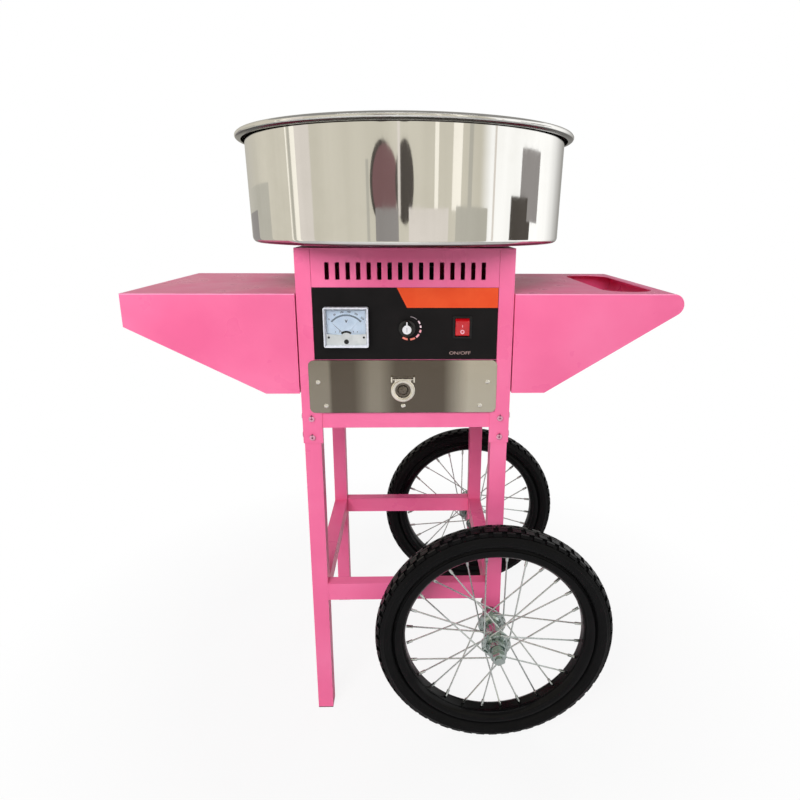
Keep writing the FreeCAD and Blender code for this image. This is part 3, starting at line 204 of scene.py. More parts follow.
class Shade:
    # A short hand for wiring nodes; every pattern reads Object coordinates.
    def __init__(self, name):
        self.material = bpy.data.materials.new(name)
        self.material.use_nodes = True
        self.tree = self.material.node_tree
        self.shader = self.tree.nodes["Principled BSDF"]
        self.place = self.add("ShaderNodeTexCoord").outputs["Object"]

    def add(self, kind, **settings):
        node = self.tree.nodes.new(kind)
        for key, value in settings.items():
            setattr(node, key, value)
        return node

    def link(self, a, b):
        self.tree.links.new(a, b)
        return b

    def set(self, **values):
        for key, value in values.items():
            self.shader.inputs[key.replace("_", " ")].default_value = value

    def stretched(self, scale):
        mapping = self.add("ShaderNodeMapping")
        mapping.inputs["Scale"].default_value = scale
        self.link(self.place, mapping.inputs["Vector"])
        return mapping.outputs["Vector"]

    def noise(self, scale, detail=2.0, rough=0.5, vector=None):
        noise = self.add("ShaderNodeTexNoise")
        noise.inputs["Scale"].default_value = scale
        noise.inputs["Detail"].default_value = detail
        noise.inputs["Roughness"].default_value = rough
        self.link(vector or self.place, noise.inputs["Vector"])
        return noise.outputs["Fac"]

    def ranged(self, value, low, high, fromLow=0.3, fromHigh=0.7):
        span = self.add("ShaderNodeMapRange")
        span.inputs["From Min"].default_value = fromLow
        span.inputs["From Max"].default_value = fromHigh
        span.inputs["To Min"].default_value = low
        span.inputs["To Max"].default_value = high
        self.link(value, span.inputs["Value"])
        return span.outputs["Result"]

    def ramp(self, value, stops):
        ramp = self.add("ShaderNodeValToRGB")
        points = ramp.color_ramp.elements
        while len(points) < len(stops):
            points.new(0.5)
        for point, (where, colour) in zip(points, stops):
            point.position = where
            point.color = (*colour, 1)
        self.link(value, ramp.inputs["Fac"])
        return ramp.outputs["Color"]

    def mixed(self, factor, a, b):
        mix = self.add("ShaderNodeMix", data_type="RGBA")
        for spot, value in (("Factor", factor), ("A", a), ("B", b)):
            socket = next(s for s in mix.inputs
                          if s.name == spot and (s.type == "RGBA" or spot == "Factor"))
            if hasattr(value, "is_output"):
                self.link(value, socket)
            else:
                socket.default_value = value if spot == "Factor" else (*value, 1)
        return next(s for s in mix.outputs if s.type == "RGBA")

    def maths(self, kind, a, b=0.0):
        step = self.add("ShaderNodeMath", operation=kind)
        for socket, value in zip(step.inputs, (a, b)):
            if hasattr(value, "is_output"):
                self.link(value, socket)
            else:
                socket.default_value = value
        return step.outputs[0]

    def bump(self, height, strength, distance):
        bump = self.add("ShaderNodeBump")
        bump.inputs["Strength"].default_value = strength
        bump.inputs["Distance"].default_value = distance
        self.link(height, bump.inputs["Height"])
        self.link(bump.outputs["Normal"], self.shader.inputs["Normal"])


def linear(red, green, blue):
    # A screen colour, 0 to 255, as the shader's linear value.
    def one(value):
        value = value / 255
        return value / 12.92 if value <= 0.04045 else ((value + 0.055) / 1.055) ** 2.4
    return one(red), one(green), one(blue)


paint = {"pink": linear(244, 112, 160), "pinkLight": linear(247, 122, 168), "pinkDeep": linear(238, 103, 152),
         "gloss": 0.3, "coat": 0.05, "sheen": 0.3, "peelScale": 700, "peelHeight": 0.00003}


def pinkPaint():
    s = Shade("pinkPaint")
    s.set(Coat_Weight=paint["coat"], Coat_Roughness=0.12, Specular_IOR_Level=paint["sheen"])
    cloud = s.noise(7, 3)
    colour = s.ramp(cloud, [(0.3, paint["pinkDeep"]), (0.5, paint["pink"]), (0.7, paint["pinkLight"])])
    dust = s.ranged(s.noise(240, 4, 0.7), 0, 0.12, 0.62, 0.75)
    s.link(s.mixed(dust, colour, linear(226, 150, 176)), s.shader.inputs["Base Color"])
    s.link(s.ranged(s.noise(18, 4), paint["gloss"] - 0.05, paint["gloss"] + 0.1),
           s.shader.inputs["Roughness"])
    s.bump(s.noise(paint["peelScale"], 2), 0.35, paint["peelHeight"])
    return s.material


steel = {"tint": linear(229, 228, 225), "dull": linear(216, 215, 211), "smudge": linear(200, 198, 192),
         "rough": 0.03, "waveDepth": 0.009, "grainScale": 90}


def polishedSteel():
    s = Shade("polishedSteel")
    s.set(Metallic=1.0)
    tall = s.noise(1, 3, 0.5, s.stretched((26, 26, 1.4)))
    smudge = s.noise(9, 4, 0.6)
    tone = s.mixed(s.ranged(tall, 0, 1), steel["dull"], steel["tint"])
    s.link(s.mixed(s.ranged(smudge, 0, 0.4, 0.5, 0.8), tone, steel["smudge"]), s.shader.inputs["Base Color"])
    s.link(s.ranged(s.noise(1, 4, 0.6, s.stretched((steel["grainScale"], steel["grainScale"], 3))),
                    steel["rough"] - 0.015, steel["rough"] + 0.04), s.shader.inputs["Roughness"])
    waves = s.noise(1, 1, 0.4, s.stretched((9, 9, 0.4)))
    s.bump(waves, 0.5, steel["waveDepth"])
    return s.material


# The drawer's sheet is dark with three soft pale bands of painted reflection: from, to, how far
# each fades and how pale it is, all as shares of the plate's width and of the pale tone.
drawerPaintedReflection = {"left": -0.1409, "right": 0.1276, "dark": (98, 90, 81), "pale": (190, 183, 168), "rough": 0.24,
              "bands": ((0, 0.1, 0.02, 0.4), (0.33, 0.38, 0.09, 0.4), (0.87, 1, 0.14, 1))}


def reflectionBandStops(look):
    dark, pale = linear(*look["dark"]), linear(*look["pale"])
    stops = []
    for first, last, fade, share in look["bands"]:
        peak = tuple(low + share * (high - low) for low, high in zip(dark, pale))
        if first > 0:
            stops.append((first - fade, dark))
        stops += [(first, peak), (last, peak)]
        if last < 1:
            stops.append((last + fade, dark))
    return stops


def drawerSheet():
    # Mill-finished sheet: soft upright bands of painted reflection and a fine upright grain.
    s = Shade("drawerSheet")
    s.set(Metallic=1.0)
    split = s.add("ShaderNodeSeparateXYZ")
    s.link(s.place, split.inputs[0])
    spot = s.ranged(split.outputs["X"], 0, 1, drawerPaintedReflection["left"], drawerPaintedReflection["right"])
    tone = s.ramp(spot, reflectionBandStops(drawerPaintedReflection))
    grain = s.noise(1, 3, 0.7, s.stretched((900, 900, 6)))
    shade = s.ranged(grain, 0.9, 1.06)
    s.link(tone, s.shader.inputs["Base Color"])
    s.link(s.maths("MULTIPLY", shade, drawerPaintedReflection["rough"]), s.shader.inputs["Roughness"])
    s.bump(grain, 0.2, 0.00002)
    return s.material


def brightMetal(name, tone, rough, scale=120):
    s = Shade(name)
    s.set(Metallic=1.0)
    tone = linear(*tone)
    cloud = s.noise(scale, 3)
    s.link(s.mixed(s.ranged(cloud, 0, 1), tone, tuple(c * 0.82 for c in tone)), s.shader.inputs["Base Color"])
    s.link(s.ranged(s.noise(scale * 3, 3), rough - 0.04, rough + 0.08), s.shader.inputs["Roughness"])
    s.bump(cloud, 0.1, 0.00003)
    return s.material


def zincSheet():
    s = Shade("zincSheet")
    s.set(Metallic=1.0)
    spangle = s.add("ShaderNodeTexVoronoi")
    spangle.inputs["Scale"].default_value = 90
    s.link(s.place, spangle.inputs["Vector"])
    s.link(s.mixed(s.ranged(spangle.outputs["Distance"], 0, 1, 0, 0.6), linear(186, 190, 196),
                   linear(150, 155, 162)),
           s.shader.inputs["Base Color"])
    s.link(s.ranged(s.noise(60, 3), 0.28, 0.46), s.shader.inputs["Roughness"])
    return s.material


def plainCoat(name, tone, other, rough, spread, scale, peel=0.00002, **values):
    # Paint, plastic or rubber: two close tones, uneven gloss and a fine skin.
    s = Shade(name)
    s.set(**values)
    s.link(s.ramp(s.noise(scale, 3), [(0.35, linear(*tone)), (0.65, linear(*other))]),
           s.shader.inputs["Base Color"])
    s.link(s.ranged(s.noise(scale * 2.3, 3), rough, rough + spread), s.shader.inputs["Roughness"])
    s.bump(s.noise(scale * 40, 2), 0.3, peel)
    return s.material


def clearPlastic():
    s = Shade("clearPlastic")
    s.set(Base_Color=(0.96, 0.98, 1, 1), Transmission_Weight=1.0, IOR=1.46)
    s.link(s.ranged(s.noise(120, 3), 0.02, 0.08), s.shader.inputs["Roughness"])
    return s.material


pinkCoat = pinkPaint()
bowlSteel = polishedSteel()
drawerSteel = drawerSheet()
chromeBright = brightMetal("chromeBright", (230, 231, 233), 0.16)
spokeChrome = brightMetal("spokeChrome", (214, 221, 219), 0.26)
# Chrome tinted pink: a painted reflection of the pink frame around the bolts.
boltPinkReflection = brightMetal("boltPinkReflection", (238, 172, 196), 0.14)
bowlUnderReflection = brightMetal("bowlUnderReflection", (118, 98, 102), 0.2, 12)
boltSlotShade = plainCoat("boltSlotShade", (104, 34, 60), (112, 38, 66), 0.5, 0.1, 40)
# A paler pink for the shelves' top fold: a painted highlight.
pinkFoldHighlight = plainCoat("pinkFoldHighlight", (255, 158, 197), (255, 148, 190), 0.35, 0.1, 20)
zincBright = brightMetal("zincBright", (226, 228, 231), 0.22, 60)
hubZinc = brightMetal("hubZinc", (186, 198, 194), 0.12, 60)
satinNickel = brightMetal("satinNickel", (238, 232, 220), 0.2, 80)
pullShade = brightMetal("pullShade", (120, 112, 103), 0.26, 80)
rivetBright = brightMetal("rivetBright", (248, 244, 236), 0.24, 80)
zinc = zincSheet()
rimBlack = plainCoat("rimBlack", (4, 4, 5), (9, 9, 10), 0.14, 0.08, 30, 0.00001,
                     Specular_IOR_Level=0.14)
plateBlack = plainCoat("plateBlack", (18, 17, 18), (23, 21, 22), 0.5, 0.12, 24, Specular_IOR_Level=0.12)
tyreRubber = plainCoat("tyreRubber", (8, 8, 9), (13, 13, 14), 0.36, 0.16, 26, 0.00006,
                       Specular_IOR_Level=0.1)
treadRubber = plainCoat("treadRubber", (12, 12, 13), (20, 20, 21), 0.28, 0.2, 120, 0.0001,
                        Specular_IOR_Level=0.4)
knobBlack = plainCoat("knobBlack", (11, 11, 12), (17, 17, 18), 0.2, 0.08, 60, 0.00001)
plasticBlack = plainCoat("plasticBlack", (18, 18, 19), (26, 26, 27), 0.3, 0.14, 60,
                         Specular_IOR_Level=0.25)
softBlack = plainCoat("softBlack", (22, 22, 22), (32, 31, 31), 0.62, 0.2, 50, 0.00005,
                      Specular_IOR_Level=0.2)
switchRed = plainCoat("switchRed", (186, 4, 20), (200, 12, 28), 0.18, 0.08, 60, 0.00001,
                      Coat_Weight=0.3, Subsurface_Weight=0.1, Subsurface_Scale=0.003)
markRose = plainCoat("markRose", (236, 170, 186), (244, 186, 200), 0.4, 0.1, 200)
meterWhite = plainCoat("meterWhite", (226, 229, 238), (236, 238, 246), 0.22, 0.1, 90)
bandSilver = plainCoat("bandSilver", (196, 200, 201), (212, 215, 216), 0.3, 0.1, 90, Metallic=0.25)
dialCard = plainCoat("dialCard", (206, 220, 236), (216, 228, 242), 0.55, 0.1, 90)
scaleInk = plainCoat("scaleInk", (112, 128, 146), (122, 138, 154), 0.5, 0.1, 200)
dialInk = plainCoat("dialInk", (44, 52, 68), (56, 64, 80), 0.5, 0.1, 200)
blackInk = plainCoat("blackInk", (10, 11, 14), (16, 17, 20), 0.35, 0.1, 200)
flashPrint = plainCoat("flashPrint", (231, 78, 36), (236, 86, 42), 0.45, 0.12, 40,
                       Specular_IOR_Level=0.15)
scaleGrey = plainCoat("scaleGrey", (150, 140, 146), (164, 152, 158), 0.45, 0.1, 200)
scalePale = plainCoat("scalePale", (238, 206, 214), (246, 218, 224), 0.45, 0.1, 200)
scaleRose = plainCoat("scaleRose", (240, 166, 176), (246, 180, 188), 0.45, 0.1, 200)
scaleSalmon = plainCoat("scaleSalmon", (242, 128, 112), (246, 140, 122), 0.45, 0.1, 200)
knobSilver = plainCoat("knobSilver", (226, 226, 230), (236, 236, 239), 0.26, 0.1, 90, Metallic=0.2)
knobSlot = plainCoat("knobSlot", (178, 178, 184), (188, 188, 194), 0.4, 0.1, 90)
labelPrint = plainCoat("labelPrint", (168, 140, 136), (178, 150, 144), 0.45, 0.1, 200)
rollShade = plainCoat("rollShade", (34, 31, 26), (40, 37, 31), 0.7, 0.2, 30, 0.000001,
                      Specular_IOR_Level=0.1)
rollUnderShade = plainCoat("rollUnderShade", (84, 82, 76), (94, 91, 85), 0.12, 0.06, 30, 0.000001,
                      Metallic=1.0)
aluminium = brightMetal("turnedAluminium", (208, 209, 212), 0.22, 60)
brass = brightMetal("turnedBrass", (214, 176, 104), 0.24, 80)
heaterRibbon = brightMetal("heaterRibbon", (126, 116, 110), 0.4, 90)
rotorIron = brightMetal("rotorIron", (110, 112, 116), 0.42, 90)
motorGrey = plainCoat("motorGrey", (62, 64, 68), (72, 74, 78), 0.4, 0.16, 60)
clearCover = clearPlastic()
print("stage: materials ready")


def easedNode(node, name, body, material, slotName, bevel, segments=2, **more):
    return finished(softCopy(node, bevel, segments, **more), name, body, material, [node])


easing = {"tube": 0.7, "sheet": 0.55, "shelf": 1.1, "shelfGap": 0.0011, "shelfEnd": 0.004,
          "highlightFold": 0.0016}

for node in ("front_left_leg", "back_left_leg", "front_right_leg", "back_right_leg", "upper_cross_rails",
             "upper_side_rails", "lower_front_rail", "lower_back_rail", "lower_side_rails"):
    easedNode(node, node + "_tube", "cart", pinkCoat, "pink_paint", easing["tube"], 3)
for node in ("front_posts", "back_posts", "front_panel", "side_panels", "back_panel", "cabinet_top"):
    easedNode(node, node + "_sheet", "cart", pinkCoat, "pink_paint", easing["sheet"])


def makeShelf(node, side):
    # The end beside the post stands a little off it, so that a dark line shows between them.
    obj = softCopy(node, easing["shelf"], smooth=36)
    near = min(abs(vertex.co.x) for vertex in obj.data.vertices)
    selectPoints(obj, lambda place: abs(place.x) < near + easing["shelfEnd"])
    bpy.ops.transform.translate(value=(side * easing["shelfGap"], 0, 0))
    leaveEdit()
    # The paint is paler along the top fold: a painted highlight.
    fold = max(vertex.co.z for vertex in obj.data.vertices) - easing["highlightFold"]
    edit(obj)
    bpy.ops.mesh.select_all(action="SELECT")
    bpy.ops.mesh.bisect(plane_co=(0, 0, fold), plane_no=(0, 0, 1))
    leaveEdit()
    finished(obj, node + "_body", "cart", pinkCoat, [node])
    obj.data.materials.append(pinkFoldHighlight)
    for face in obj.data.polygons:
        if face.center.z > fold and face.normal.z < 0.95:
            face.material_index = 1


makeShelf("left_shelf", -1)
makeShelf("right_shelf", 1)
easedNode("cabinet_floor", "deck_sheet", "cart", zinc, "zinc_sheet", 0.4)
easedNode("foot_plugs", "foot_pads", "cart", softBlack, "black_rubber", 0.3)
easedNode("frame_bolts", "frame_bolt_set", "cart", boltPinkReflection, "bright_steel", 0.2, smooth=50)
easedNode("shelf_bolts", "shelf_bolt_set", "cart", boltPinkReflection, "bright_steel", 0.2)
easedNode("power_inlet", "inlet_socket", "cart", plasticBlack, "black_plastic", 0.3)
print("stage: frame and cabinet ready")


bowl = {"floor": 0.782, "top": 0.939, "rimRadius": 0.260, "bottomRadius": 0.243, "topRadius": 0.246,
        "wall": 0.001,
        "corner": 0.0075, "rollWidth": 0.0132, "rollHeight": 0.0092, "collarRadius": 0.076,
        "collarHeight": 0.022,
        "steps": 192}


def arc(centreR, centreH, radius, fromDeg, toDeg, count):
    angles = [math.radians(fromDeg + (toDeg - fromDeg) * i / count) for i in range(count + 1)]
    return [(centreR + radius * math.cos(a), centreH + radius * math.sin(a)) for a in angles]


def makeBowl():
    height = bowl["top"] - bowl["floor"]
    half = bowl["wall"] / 2
    corner = bowl["corner"]
    bottom = bowl["bottomRadius"]
    top = bowl["topRadius"]
    collar = bowl["collarRadius"]
    rollR = bowl["rollWidth"] / 2
    rollH = bowl["rollHeight"] / 2
    centreR = bowl["rimRadius"] - half - rollR
    centreH = height - half - rollH
    skin = [(collar, bowl["collarHeight"]), (collar, 0.0035)]
    skin += arc(collar + 0.0035, 0.0035, 0.0035, 180, 270, 4)[1:]
    skin += [(0.12, 0), (0.17, 0), (0.21, 0)]
    skin += arc(bottom - corner, corner, corner, 270, 360, 8)
    wallTop = centreH - 0.004
    skin += [(bottom + (top - bottom) * t, corner + (wallTop - corner) * t)
             for t in (0.03, 0.2, 0.4, 0.6, 0.8, 0.97, 1)]
    # The rim rolls out over the top and down again, and its end turns in and stays open.
    for degrees in range(168, -107, -9):
        angle = math.radians(degrees)
        skin.append((centreR + rollR * math.cos(angle), centreH + rollH * math.sin(angle)))
    obj = spunProfile(skin, (0, 0, bowl["floor"] + half), "Z", bowl["steps"], False)
    wallMaker = obj.modifiers.new("wall", "SOLIDIFY")
    wallMaker.thickness = bowl["wall"] * 0.9
    wallMaker.offset = 0
    bakeModifiers(obj)
    shadeByAngle(obj, 60)
    finished(obj, "bowl_pan", "bowl", bowlSteel, ["bowl"])
    obj.data.materials.append(rollShade)
    obj.data.materials.append(rollUnderShade)
    obj.data.materials.append(bowlUnderReflection)
    middle = Vector((centreR, bowl["floor"] + half + centreH))
    for face in obj.data.polygons:
        spot = Vector((math.hypot(face.center.x, face.center.y), face.center.z))
        outward = Vector((face.normal.x * face.center.x + face.normal.y * face.center.y,
                          face.normal.z * spot.x))
        if spot.y > middle.y - rollH and (spot - middle).dot(outward) < 0 and spot.x > top - half:
            face.material_index = 1
        # A band under the bead gets dark metal: painted shade.
        elif -rollH * 1.2 < spot.y - middle.y < -rollH * 0.5 and spot.x > middle.x - rollR * 0.5:
            face.material_index = 2
        # The base's underside gets a dark pinkish metal: a painted reflection of the shaded cabinet top.
        elif face.normal.z < -0.5 and spot.y < bowl["floor"] + corner * 0.5:
            face.material_index = 3


makeBowl()
easedNode("bowl_cushion", "bowl_seat_ring", "cart", softBlack, "black_rubber", 0.5)
print("stage: bowl ready")


easedNode("head_dish", "spinner_dish", "spinner", aluminium, "head_aluminium", 0.3)
easedNode("head_cover", "spinner_cover", "spinner", aluminium, "head_aluminium", 0.3)
easedNode("floss_band", "spinner_band", "spinner", zincBright, "band_steel", 0.0)
easedNode("heating_element", "heater_ring", "spinner", heaterRibbon, "heater_wire", 0.0)
easedNode("spindle", "spindle_rod", "spinner", chromeBright, "bright_steel", 0.3)
easedNode("slip_rings", "slip_ring_set", "spinner", brass, "ring_brass", 0.2)
easedNode("motor_rotor", "rotor_stack", "spinner", rotorIron, "rotor_iron", 0.3)
easedNode("brush_block", "brush_holder", "cart", plasticBlack, "black_plastic", 0.3)
easedNode("motor_housing", "motor_can", "cart", motorGrey, "motor_paint", 0.5)
easedNode("motor_bearings", "bearing_set", "cart", chromeBright, "bright_steel", 0.3)
easedNode("motor_mounts", "motor_feet", "cart", softBlack, "black_rubber", 0.3)
print("stage: spinner ready")


easedNode("drawer_front", "drawer_plate", "drawer", drawerSteel, "drawer_steel", 0.35, smooth=40)
easedNode("drawer_tray", "drawer_tray_sheet", "drawer", zinc, "zinc_sheet", 0.25)
easedNode("drawer_runners", "runner_angles", "cart", zinc, "zinc_sheet", 0.25)
easedNode("drawer_rivets", "rivet_set", "drawer", rivetBright, "bright_steel", 0.0, smooth=60)
pull = {"x": -0.0044, "z": 0.5733, "loopRadius": 0.0144, "loopWide": 0.0036, "loopThick": 0.0018,
        "hingeRise": 0.0167,
        "barWide": 0.012, "barFoot": 0.0125}


def makePull():
    plate = easedNode("pull_base", "pull_plate", "drawer", satinNickel, "bright_steel", 0.6, 3)
    plate.data.materials.append(pullShade)
    for face in plate.data.polygons:
        away = math.hypot(face.center.x - pull["x"], face.center.z - pull["z"])
        if away < pull["loopRadius"] - pull["loopWide"] * 0.5:
            face.material_index = 1
    points = [cad["pull_ring"].matrix_world @ vertex.co for vertex in cad["pull_ring"].data.vertices]
    y = (min(point.y for point in points) + max(point.y for point in points)) / 2
    z = (min(point.z for point in points) + pull["loopRadius"] + pull["loopWide"])
    section = [(pull["loopRadius"] + pull["loopWide"] * math.cos(a), pull["loopThick"] * math.sin(a))
               for a in (math.radians(step * 22.5) for step in range(16))]
    loop = spunProfile(section + section[:1], (pull["x"], y, z), "Y", 64, True)
    clearSelection()
    bpy.ops.mesh.primitive_cube_add(size=2, location=(pull["x"], y,
                                                      z + (pull["barFoot"] + pull["hingeRise"]) / 2))
    bar = bpy.context.object
    bar.scale = (pull["barWide"], pull["loopThick"] * 0.75, (pull["hingeRise"] - pull["barFoot"]) / 2)
    clearSelection()
    bpy.ops.mesh.primitive_cylinder_add(vertices=32, radius=pull["loopThick"], depth=pull["barWide"] * 2,
                                        location=(pull["x"], y, z + pull["hingeRise"]),
                                        rotation=(0, math.pi / 2, 0))
    barrel = bpy.context.object
    for piece in (bar, barrel):
        fixPlace(piece)
    handle = joinPieces([loop, bar, barrel], "handle")
    shadeByAngle(handle, 40)
    finished(handle, "pull_loop", "pull_ring", satinNickel, ["pull_ring"])


makePull()
print("stage: drawer ready")


wheel = {"x": 0.137, "z": 0.187, "offset": 0.213, "radius": 0.187, "rimInner": 0.140, "rimEdge": 0.156,
         "tyreHalf": 0.021, "rimHalf": 0.0165, "floorHalf": 0.008, "treadDepth": 0.0034, "pitches": 56,
         "steps": 144}


def tyreOutline(angle):
    # Height above the rim's edge and distance from the wheel's plane at an angle round the tyre's section.
    rise = wheel["radius"] - wheel["rimEdge"]
    middle = wheel["rimEdge"] + rise * 0.42
    a = math.radians(angle)
    up = math.sin(a)
    r = middle + (wheel["radius"] - middle if up > 0 else middle - wheel["rimEdge"]) * up
    h = wheel["tyreHalf"] * (abs(math.cos(a)) ** 0.82) * (1 if math.cos(a) >= 0 else -1)
    return r, h


def makeTyre(side, body, prefix):
    centre = (wheel["x"], side * wheel["offset"], wheel["z"])
    sink = wheel["treadDepth"]

    def lowered(angle, depth):
        r, h = tyreOutline(angle)
        inR = wheel["rimEdge"] + (wheel["radius"] - wheel["rimEdge"]) * 0.42
        length = math.hypot(r - inR, h)
        keep = (length - depth) / length
        return inR + (r - inR) * keep, h * keep

    casing = []
    for angle in range(-60, 241, 6):
        depth = sink if 38 <= angle <= 142 else 0.0008
        if angle in (12, 168):
            depth = 0.0  # a raised line along each side
        casing.append(lowered(angle, depth))
    low = wheel["rimEdge"] - 0.0035
    casing = [(low, wheel["rimHalf"] - 0.0022)] + casing + [(low, -wheel["rimHalf"] + 0.0022)]
    casing.append(casing[0])
    parts = [spunProfile(casing, centre, "Y", wheel["steps"], True)]
    shadeByAngle(parts[0], 50)

    pitch = 2 * math.pi / wheel["pitches"]
    blocks = ((40, 62, 0.0, 0.62), (66, 84, 0.42, 0.62), (87, 93, 0.0, 0.8), (96, 114, 0.0, 0.62),
              (118, 140, 0.42, 0.62))
    for first, last, start, length in blocks:
        section = [lowered(first + (last - first) * t, 0.0003) for t in (0, 0.33, 0.67, 1)]
        section += [lowered(last, sink + 0.001), lowered(first, sink + 0.001)]
        clearSelection()
        bpy.ops.mesh.primitive_circle_add(vertices=len(section), radius=0.01, fill_type="NGON")
        block = bpy.context.object
        for vertex, (r, h) in zip(block.data.vertices, section):
            vertex.co = Vector(centre) + Vector((r * math.cos(start * pitch), h, r * math.sin(start * pitch)))
        edit(block)
        bpy.ops.mesh.select_all(action="SELECT")
        bpy.ops.mesh.spin(steps=1, angle=-length * pitch, center=centre, axis=(0, 1, 0))
        bpy.ops.mesh.select_all(action="SELECT")
        bpy.ops.mesh.normals_make_consistent(inside=False)
        bpy.ops.mesh.spin(steps=wheel["pitches"] - 1, angle=-(2 * math.pi - pitch), center=centre,
                          axis=(0, 1, 0), dupli=True)
        leaveEdit()
        shadeByAngle(block, 30)
        parts.append(block)
    tyre = joinPieces(parts, prefix + "_tyre_cover")
    finished(tyre, prefix + "_tyre_cover", body, tyreRubber, [prefix + "_tyre"])
    markTread(tyre, centre)


def markTread(tyre, centre):
    # The blocks of the tread shine more than the casing.
    tyre.data.materials.append(treadRubber)
    edge = wheel["radius"] - wheel["treadDepth"] * 0.9
    for face in tyre.data.polygons:
        away = math.hypot(face.center.x - centre[0], face.center.z - centre[2])
        if away > edge:
            face.material_index = 1


def makeRim(side, body, prefix):
    centre = (wheel["x"], side * wheel["offset"], wheel["z"])
    half = wheel["rimHalf"]
    well = wheel["floorHalf"]
    inner = wheel["rimInner"]
    shoulder = inner + (half - well) * 0.7
    edge = wheel["rimEdge"]
    halfSection = [(inner, 0), (inner, well * 0.6), (inner + 0.0003, well), (inner + 0.0016, well + 0.0025),
                   (shoulder - 0.0006, half - 0.0012), (shoulder + 0.001, half), (edge - 0.0015, half),
                   (edge - 0.0004, half - 0.0003), (edge, half - 0.0009), (edge - 0.0006, half - 0.0015),
                   (shoulder + 0.002, half - 0.0015), (inner + 0.0018, well * 0.7), (inner + 0.0015, 0)]
    mirrored = [(r, -h) for r, h in reversed(halfSection[1:-1])]
    section = halfSection + mirrored + halfSection[:1]
    rim = spunProfile(section, centre, "Y", wheel["steps"], True)
    shadeByAngle(rim, 40)
    finished(rim, prefix + "_rim_hoop", body, rimBlack, [prefix + "_rim"])


for side, prefix in ((-1, "front"), (1, "back")):
    body = prefix + "_wheel"
    makeTyre(side, body, prefix)
    makeRim(side, body, prefix)
    easedNode(prefix + "_spokes", prefix + "_spoke_set", body, spokeChrome, "bright_steel", 0.0, smooth=50)
    easedNode(prefix + "_hub", prefix + "_hub_shell", body, hubZinc, "bright_steel", 0.35, 2)
easedNode("axles", "axle_rods", "cart", hubZinc, "bright_steel", 0.5)
easedNode("axle_nuts", "axle_nut_set", "cart", hubZinc, "bright_steel", 0.3)
print("stage: wheels ready")


def frontArc(centre, radius, width, fromDeg, toDeg, depth):
    # A raised band on a circle that faces the front; degrees run clockwise from upright.
    clearSelection()
    bpy.ops.mesh.primitive_plane_add(size=1)
    obj = bpy.context.object
    start = math.radians(fromDeg)
    out = Vector((math.sin(start), 0, math.cos(start)))
    bpy.ops.object.mode_set(mode="EDIT")
    bpy.ops.mesh.select_all(action="SELECT")
    bpy.ops.mesh.merge(type="CENTER")
    bpy.ops.transform.translate(value=Vector(centre) + out * (radius - width / 2))
    bpy.ops.mesh.extrude_region_move(TRANSFORM_OT_translate={"value": out * width})
    bpy.ops.mesh.select_all(action="SELECT")
    turns = max(2, round(abs(toDeg - fromDeg) / 3))
    bpy.ops.mesh.spin(steps=turns, angle=-math.radians(toDeg - fromDeg), center=centre, axis=(0, 1, 0))
    bpy.ops.mesh.select_all(action="SELECT")
    bpy.ops.mesh.extrude_region_move(TRANSFORM_OT_translate={"value": (0, -depth, 0)})
    leaveEdit()
    tidyMesh(obj, 1e-7)
    return obj


def frontSlab(corners, y, depth, lean=0.0):
    # A thin plate that faces the front, from its corners as (x, z); lean brings its top forward.
    clearSelection()
    bpy.ops.mesh.primitive_circle_add(vertices=len(corners), radius=0.01, fill_type="NGON")
    obj = bpy.context.object
    foot = min(z for x, z in corners)
    for vertex, (x, z) in zip(obj.data.vertices, corners):
        vertex.co = Vector((x, y - lean * (z - foot), z))
    edit(obj)
    bpy.ops.mesh.select_all(action="SELECT")
    bpy.ops.mesh.extrude_region_move(TRANSFORM_OT_translate={"value": (0, -depth, 0)})
    leaveEdit()
    tidyMesh(obj, 1e-7)
    return obj


def frontBox(left, right, low, high, y, depth, lean=0.0):
    return frontSlab([(left, low), (right, low), (right, high), (left, high)], y, depth, lean)


def frontText(words, x, y, z, height, depth, turn=0.0, wide=1.0, weight=0.0):
    clearSelection()
    bpy.ops.object.text_add(location=(x, y, z), rotation=(math.pi / 2, math.radians(turn), 0))
    obj = bpy.context.object
    obj.data.body = words
    obj.data.align_x = "CENTER"
    obj.data.align_y = "CENTER"
    obj.data.size = height / 0.7
    obj.data.extrude = depth / 2
    obj.data.offset = weight
    obj.scale = (wide, 1, 1)
    bpy.ops.object.convert(target="MESH")
    fixPlace(bpy.context.object)
    return bpy.context.object


controls = {"plateFront": -0.1633, "ink": 0.00006, "flashLeft": -0.0123, "flashTurn": 0.0020,
            "flashRight": 0.1321,
            "flashTop": 0.7233, "flashFoot": 0.6948}
knob = {"x": 0.0019, "z": 0.6655, "scaleX": 0.0051, "scaleRadius": 0.0166, "capRadius": 0.0064,
        "front": 0.0153,
        "pointerWidth": 0.0024, "pointerReach": 0.0109, "pointerSink": 0.0011, "slotHalf": 0.0007,
        "slotReach": 0.0034, "slotDepth": 0.0003}
knobDashes = ((24, 36, 0.8, "grey"), (60, 16, 2.0, "pale"), (83, 11, 2.4, "pale"), (106, 14, 2.8, "rose"),
              (133, 20, 2.8, "rose"), (163, 25, 2.8, "salmon"), (201, 27, 2.9, "salmon"))
switch = {"x": 0.0816, "z": 0.6666, "labelX": 0.0788, "labelZ": 0.6285, "labelHeight": 0.0045,
          "circleY": -0.16688, "circleDrop": 0.0061, "circleRadius": 0.0031, "circleLine": 0.0016,
          "barY": -0.16722, "barRise": 0.0007, "barHeight": 0.0034, "barWidth": 0.0009, "barLean": 0.2345,
          "markDepth": 0.00015}

easedNode("control_plate", "control_plate_sheet", "cart", plateBlack, "plate_print", 0.2)


